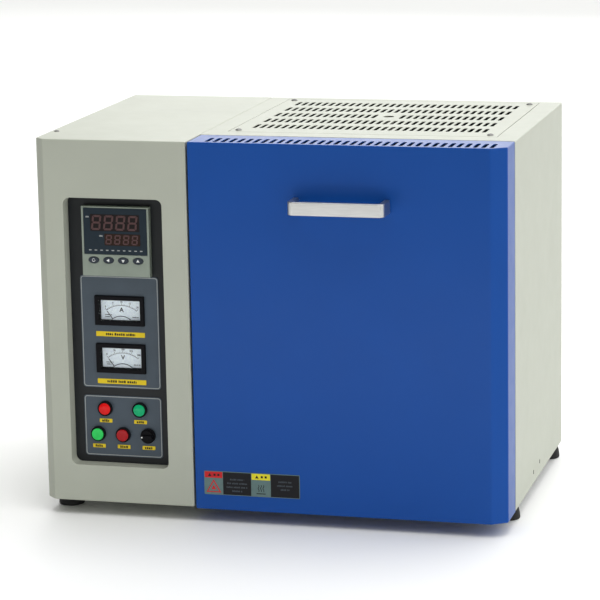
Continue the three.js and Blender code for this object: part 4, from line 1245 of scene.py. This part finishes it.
# a soft dome: each ring of the side is drawn out from a cone
def makeFeet():
    low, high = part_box("foot_front_left")
    height = high.z - low.z
    radius = (high.x - low.x) / 2
    topRadius = foot["topRadius"]
    dome = addRod("footPattern", radius, (0, 0, 0), (0, 0, height), 40, topRadius)
    levels = [step / foot["rings"] for step in range(1, foot["rings"])]
    for level in levels:
        cutAcross(dome, (0, 0, height * level), (0, 0, 1))
    for level in levels:
        ring = height * level
        wanted = topRadius + (radius - topRadius) * math.sqrt(1 - level ** foot["fullness"])
        factor = wanted / (radius + (topRadius - radius) * level)
        pickEdges(dome, lambda a, b: abs(a.z - ring) < near and abs(b.z - ring) < near)
        bpy.ops.transform.resize(value=(factor, factor, 1), center_override=(0, 0, ring))
        editDone()
    roundEdges(dome, foot["edge"], 3, 40)
    for node in ("foot_front_left", "foot_front_right", "foot_rear_left", "foot_rear_right"):
        low, high, centre = boxOf(node)
        twin = copyOf(dome, camelName(node), (centre.x, centre.y, low.z))
        settle(twin, "housing", "rubber", "rubber", node)
    bpy.data.objects.remove(dome)


# heater coils

coil = {
    "wire": 0.9 * mm,
    "radius": 3.3 * mm,
    "pitch": 4.6 * mm,
    "sides": 10,
    "runs": 4,
    "backInset": 20 * mm,
    "tail": (22 * mm, 24 * mm, 2.4 * mm, 0.4 * mm), # coil end, tail length, radius and easing
}


def coilPath(corners):
    points = []
    turn = 0.0
    for start, end in zip(corners, corners[1:]):
        along = (end - start).normalized()
        side = Vector((1, 0, 0))
        other = along.cross(side)
        steps = max(2, int((end - start).length / coil["pitch"] * coil["sides"]))
        for step in range(steps):
            middle = start.lerp(end, step / steps)
            angle = turn + 2 * math.pi * step / coil["sides"]
            points.append(middle + coil["radius"] * (side * math.cos(angle) + other * math.sin(angle)))
        turn += 2 * math.pi * steps / coil["sides"]
    return points


def makeCoil(side):
    node = "heating_element_" + side
    low, high, centre = boxOf(node)
    x = centre.x
    radius = (high.x - low.x) / 2
    front = low.y + radius
    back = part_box("insulation_" + side)[1].y - coil["backInset"]
    lastRun = coil["runs"] - 1
    end, length, tailRadius, easing = coil["tail"]
    tall = high.z - low.z - 2 * radius
    heights = [low.z + radius + tall * run / lastRun for run in range(lastRun + 1)]
    corners = [Vector((x, high.y - end, heights[0]))]
    for run, height in enumerate(heights):
        if run:
            corners.append(Vector((x, front if run % 2 else back, height)))
        last = high.y - end if run == lastRun else (front if run % 2 == 0 else back)
        corners.append(Vector((x, last, height)))
    wire = addWire(side + "Coil", coilPath(corners), coil["wire"], False, 1)
    tails = []
    for height in (heights[0], heights[lastRun]):
        tail = addRod("tail", tailRadius, (x, high.y - length, height), (x, high.y, height), 16)
        tails.append(roundEdges(tail, easing))
    settle(joinPieces(side + "Coil", [wire, *tails]), "housing", "heater_wire", "wire", node)


easedPieces = {
    ("housing", "case_enamel", "case"): {"cabinet_rear_cover": 0.3, "rear_panel": 0.3,
                                         "front_frame": 0.3},
    ("housing", "zinc_steel", "zinc"): {"base_pan": 0.3, "support_frame": 0.4, "hinge_arm_left": 0.5,
                                        "hinge_arm_right": 0.5},
    ("door", "zinc_steel", "zinc"): {"door_inner_plate": 0.3},
    ("housing", "black_plate", "plate"): {"instrument_plate": 0.2},
    ("housing", "fibre_board", "fibre"): {"insulation_collar": 1.2, "insulation_floor": 1.2,
                                          "insulation_roof": 1.2, "insulation_left": 1.0,
                                          "insulation_right": 1.0, "insulation_rear": 0.8},
    ("door", "fibre_board", "fibre"): {"door_insulation": 2.5},
    ("housing", "carbide", "carbide"): {"hearth_plate": 1.5},
    ("housing", "alumina", "alumina"): {"thermocouple": 0.6, "flue_tube": 0.5, "terminal_block": 0.5},
    ("housing", "black_plastic", "black"): {"cable_gland": 0.6, "contactor": 0.6, "door_switch": 0.5},
    ("housing", "sink_aluminium", "sink"): {"power_module": 0.4},
    ("plunger", "red_plastic", "darkRed"): {"switch_plunger": 0.6},
}


def makeEasedPieces():
    for (body, slotName, finish), widths in easedPieces.items():
        for node, width in widths.items():
            piece = easedCopy(camelName(node), node, width * mm, angle=40)
            settle(piece, body, slotName, finish, node)
            # painted shade on the rear panel's inward faces
            if node == "rear_panel":
                paintShadeOnFaces(piece, lambda centre, normal: normal.y < -0.5)
            if node in ("insulation_roof", "door_insulation"): # painted shade on the board's top faces, seen through the slots
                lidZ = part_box(node)[1].z - 1 * mm
                paintShadeOnFaces(piece, lambda centre, normal: centre.z > lidZ)


# camera, light and floor

view = {
    "azimuth": 14.92,
    "elevation": 11.895,
    "roll": -1.045,
    "place": (974.9 * mm, -3701.9 * mm, 1076.3 * mm),
    "lens": 165.6,
    "sensor": 36,
    "farthest": 50,
}


def placeCamera():
    azimuth, elevation, roll = (math.radians(view[key]) for key in ("azimuth", "elevation", "roll"))
    back = Vector((math.sin(azimuth) * math.cos(elevation), -math.cos(azimuth) * math.cos(elevation),
                   math.sin(elevation)))
    right = Vector((math.cos(azimuth), math.sin(azimuth), 0))
    up = back.cross(right)
    tiltedRight = right * math.cos(roll) + up * math.sin(roll)
    tiltedUp = up * math.cos(roll) - right * math.sin(roll)
    data = bpy.data.cameras.new("benchCamera")
    data.lens = view["lens"]
    data.sensor_width = view["sensor"]
    data.clip_end = view["farthest"]
    camera = linkNew("benchCamera", data)
    turn = Matrix((tiltedRight, tiltedUp, back)).transposed().to_4x4()
    camera.matrix_world = Matrix.Translation(Vector(view["place"])) @ turn
    bpy.context.scene.camera = camera


def areaLight(name, place, target, size, power):
    data = bpy.data.lights.new(name, "AREA")
    data.shape = "RECTANGLE"
    data.size, data.size_y = size
    data.energy = power
    lamp = linkNew(name, data)
    lamp.location = place
    lamp.visible_camera = False
    lamp.rotation_euler = (Vector(target) - Vector(place)).to_track_quat("-Z", "Y").to_euler()


studio = {
    "skyColour": (1.0, 1.0, 0.985),
    "brightSide": (0.68, 0.53, 0.51), # direction that the sky is brightest in
    "skyReach": (-0.25, 0.7), # from its dimmest to its brightest
    "skyRange": (0.14, 1.40),
    "floorColour": (0.97, 0.975, 0.97),
    "floorSize": 16,
    "floorPlace": (0, 3, -0.2 * mm),
    "lights": ( # name, place, target, size and power
        ("softTop", (0.3, -0.5, 3.4), (0.1, -0.5, 0), (3.2, 2.4), 49),
        ("softBack", (0.5, 5.6, 2.2), (0, 0, 0.5), (6.0, 2.6), 70),
        ("softFront", (-0.5, -4.6, 0.35), (-0.2, 0, 0.1), (3.6, 0.6), 5),
        ("lowFront", (-0.1, -1.1, 0.07), (-0.1, 0, 0.12), (2.2, 0.1), 1.7),
    ),
}


# a sky that is brighter above, behind and to the right
def makeSky():
    world = bpy.data.worlds.new("studioSky")
    world.use_nodes = True
    tree = world.node_tree
    place = tree.nodes.new("ShaderNodeTexCoord")
    along = tree.nodes.new("ShaderNodeVectorMath")
    along.operation = "DOT_PRODUCT"
    along.inputs[1].default_value = Vector(studio["brightSide"]).normalized()
    ramp = tree.nodes.new("ShaderNodeMapRange")
    ramp.interpolation_type = "SMOOTHSTEP"
    keys = ("From Min", "From Max", "To Min", "To Max")
    setSockets(ramp, dict(zip(keys, studio["skyReach"] + studio["skyRange"])))
    background = tree.nodes["Background"]
    setSockets(background, {"Color": (*studio["skyColour"], 1)})
    tree.links.new(place.outputs["Generated"], along.inputs[0])
    tree.links.new(along.outputs["Value"], ramp.inputs["Value"])
    tree.links.new(ramp.outputs["Result"], background.inputs["Strength"])
    bpy.context.scene.world = world


def makeStudio():
    bpy.ops.mesh.primitive_plane_add(size=studio["floorSize"], location=studio["floorPlace"])
    floor = takeNew("studioFloor")
    floor.data.materials.append(makeFinish("studioFloor", "floor", studio["floorColour"], 0.6))
    makeSky()
    for light in studio["lights"]:
        areaLight(*light)
    bpy.context.scene.view_settings.view_transform = "Standard"


placeCamera()
makeStudio()
print("camera and studio ready")

makeCabinet()
makeFurnaceCase()
makeSidePlugs()
grilleSpots = makeGrille()
print("casing ready")

makeDoorSkin()
makeHandle()
makePlacard()
print("door ready")

makeOverlay("meter_overlay", "meterOverlay")
makeOverlay("switch_overlay", "switchOverlay")
makeLabels()
makeController()
makeKeys()
makeMeter("ammeter", ("0", "5", "10", "15", "20"), "A")
makeMeter("voltmeter", ("0", "75", "150", "225", "300"), "V")
print("instruments ready")

makeControls()
makeFeet()
print("controls and feet ready")

makeCoil("left")
makeCoil("right")
makeEasedPieces()
print("inner pieces ready")

makeScrews(grilleSpots)
print("screws ready")
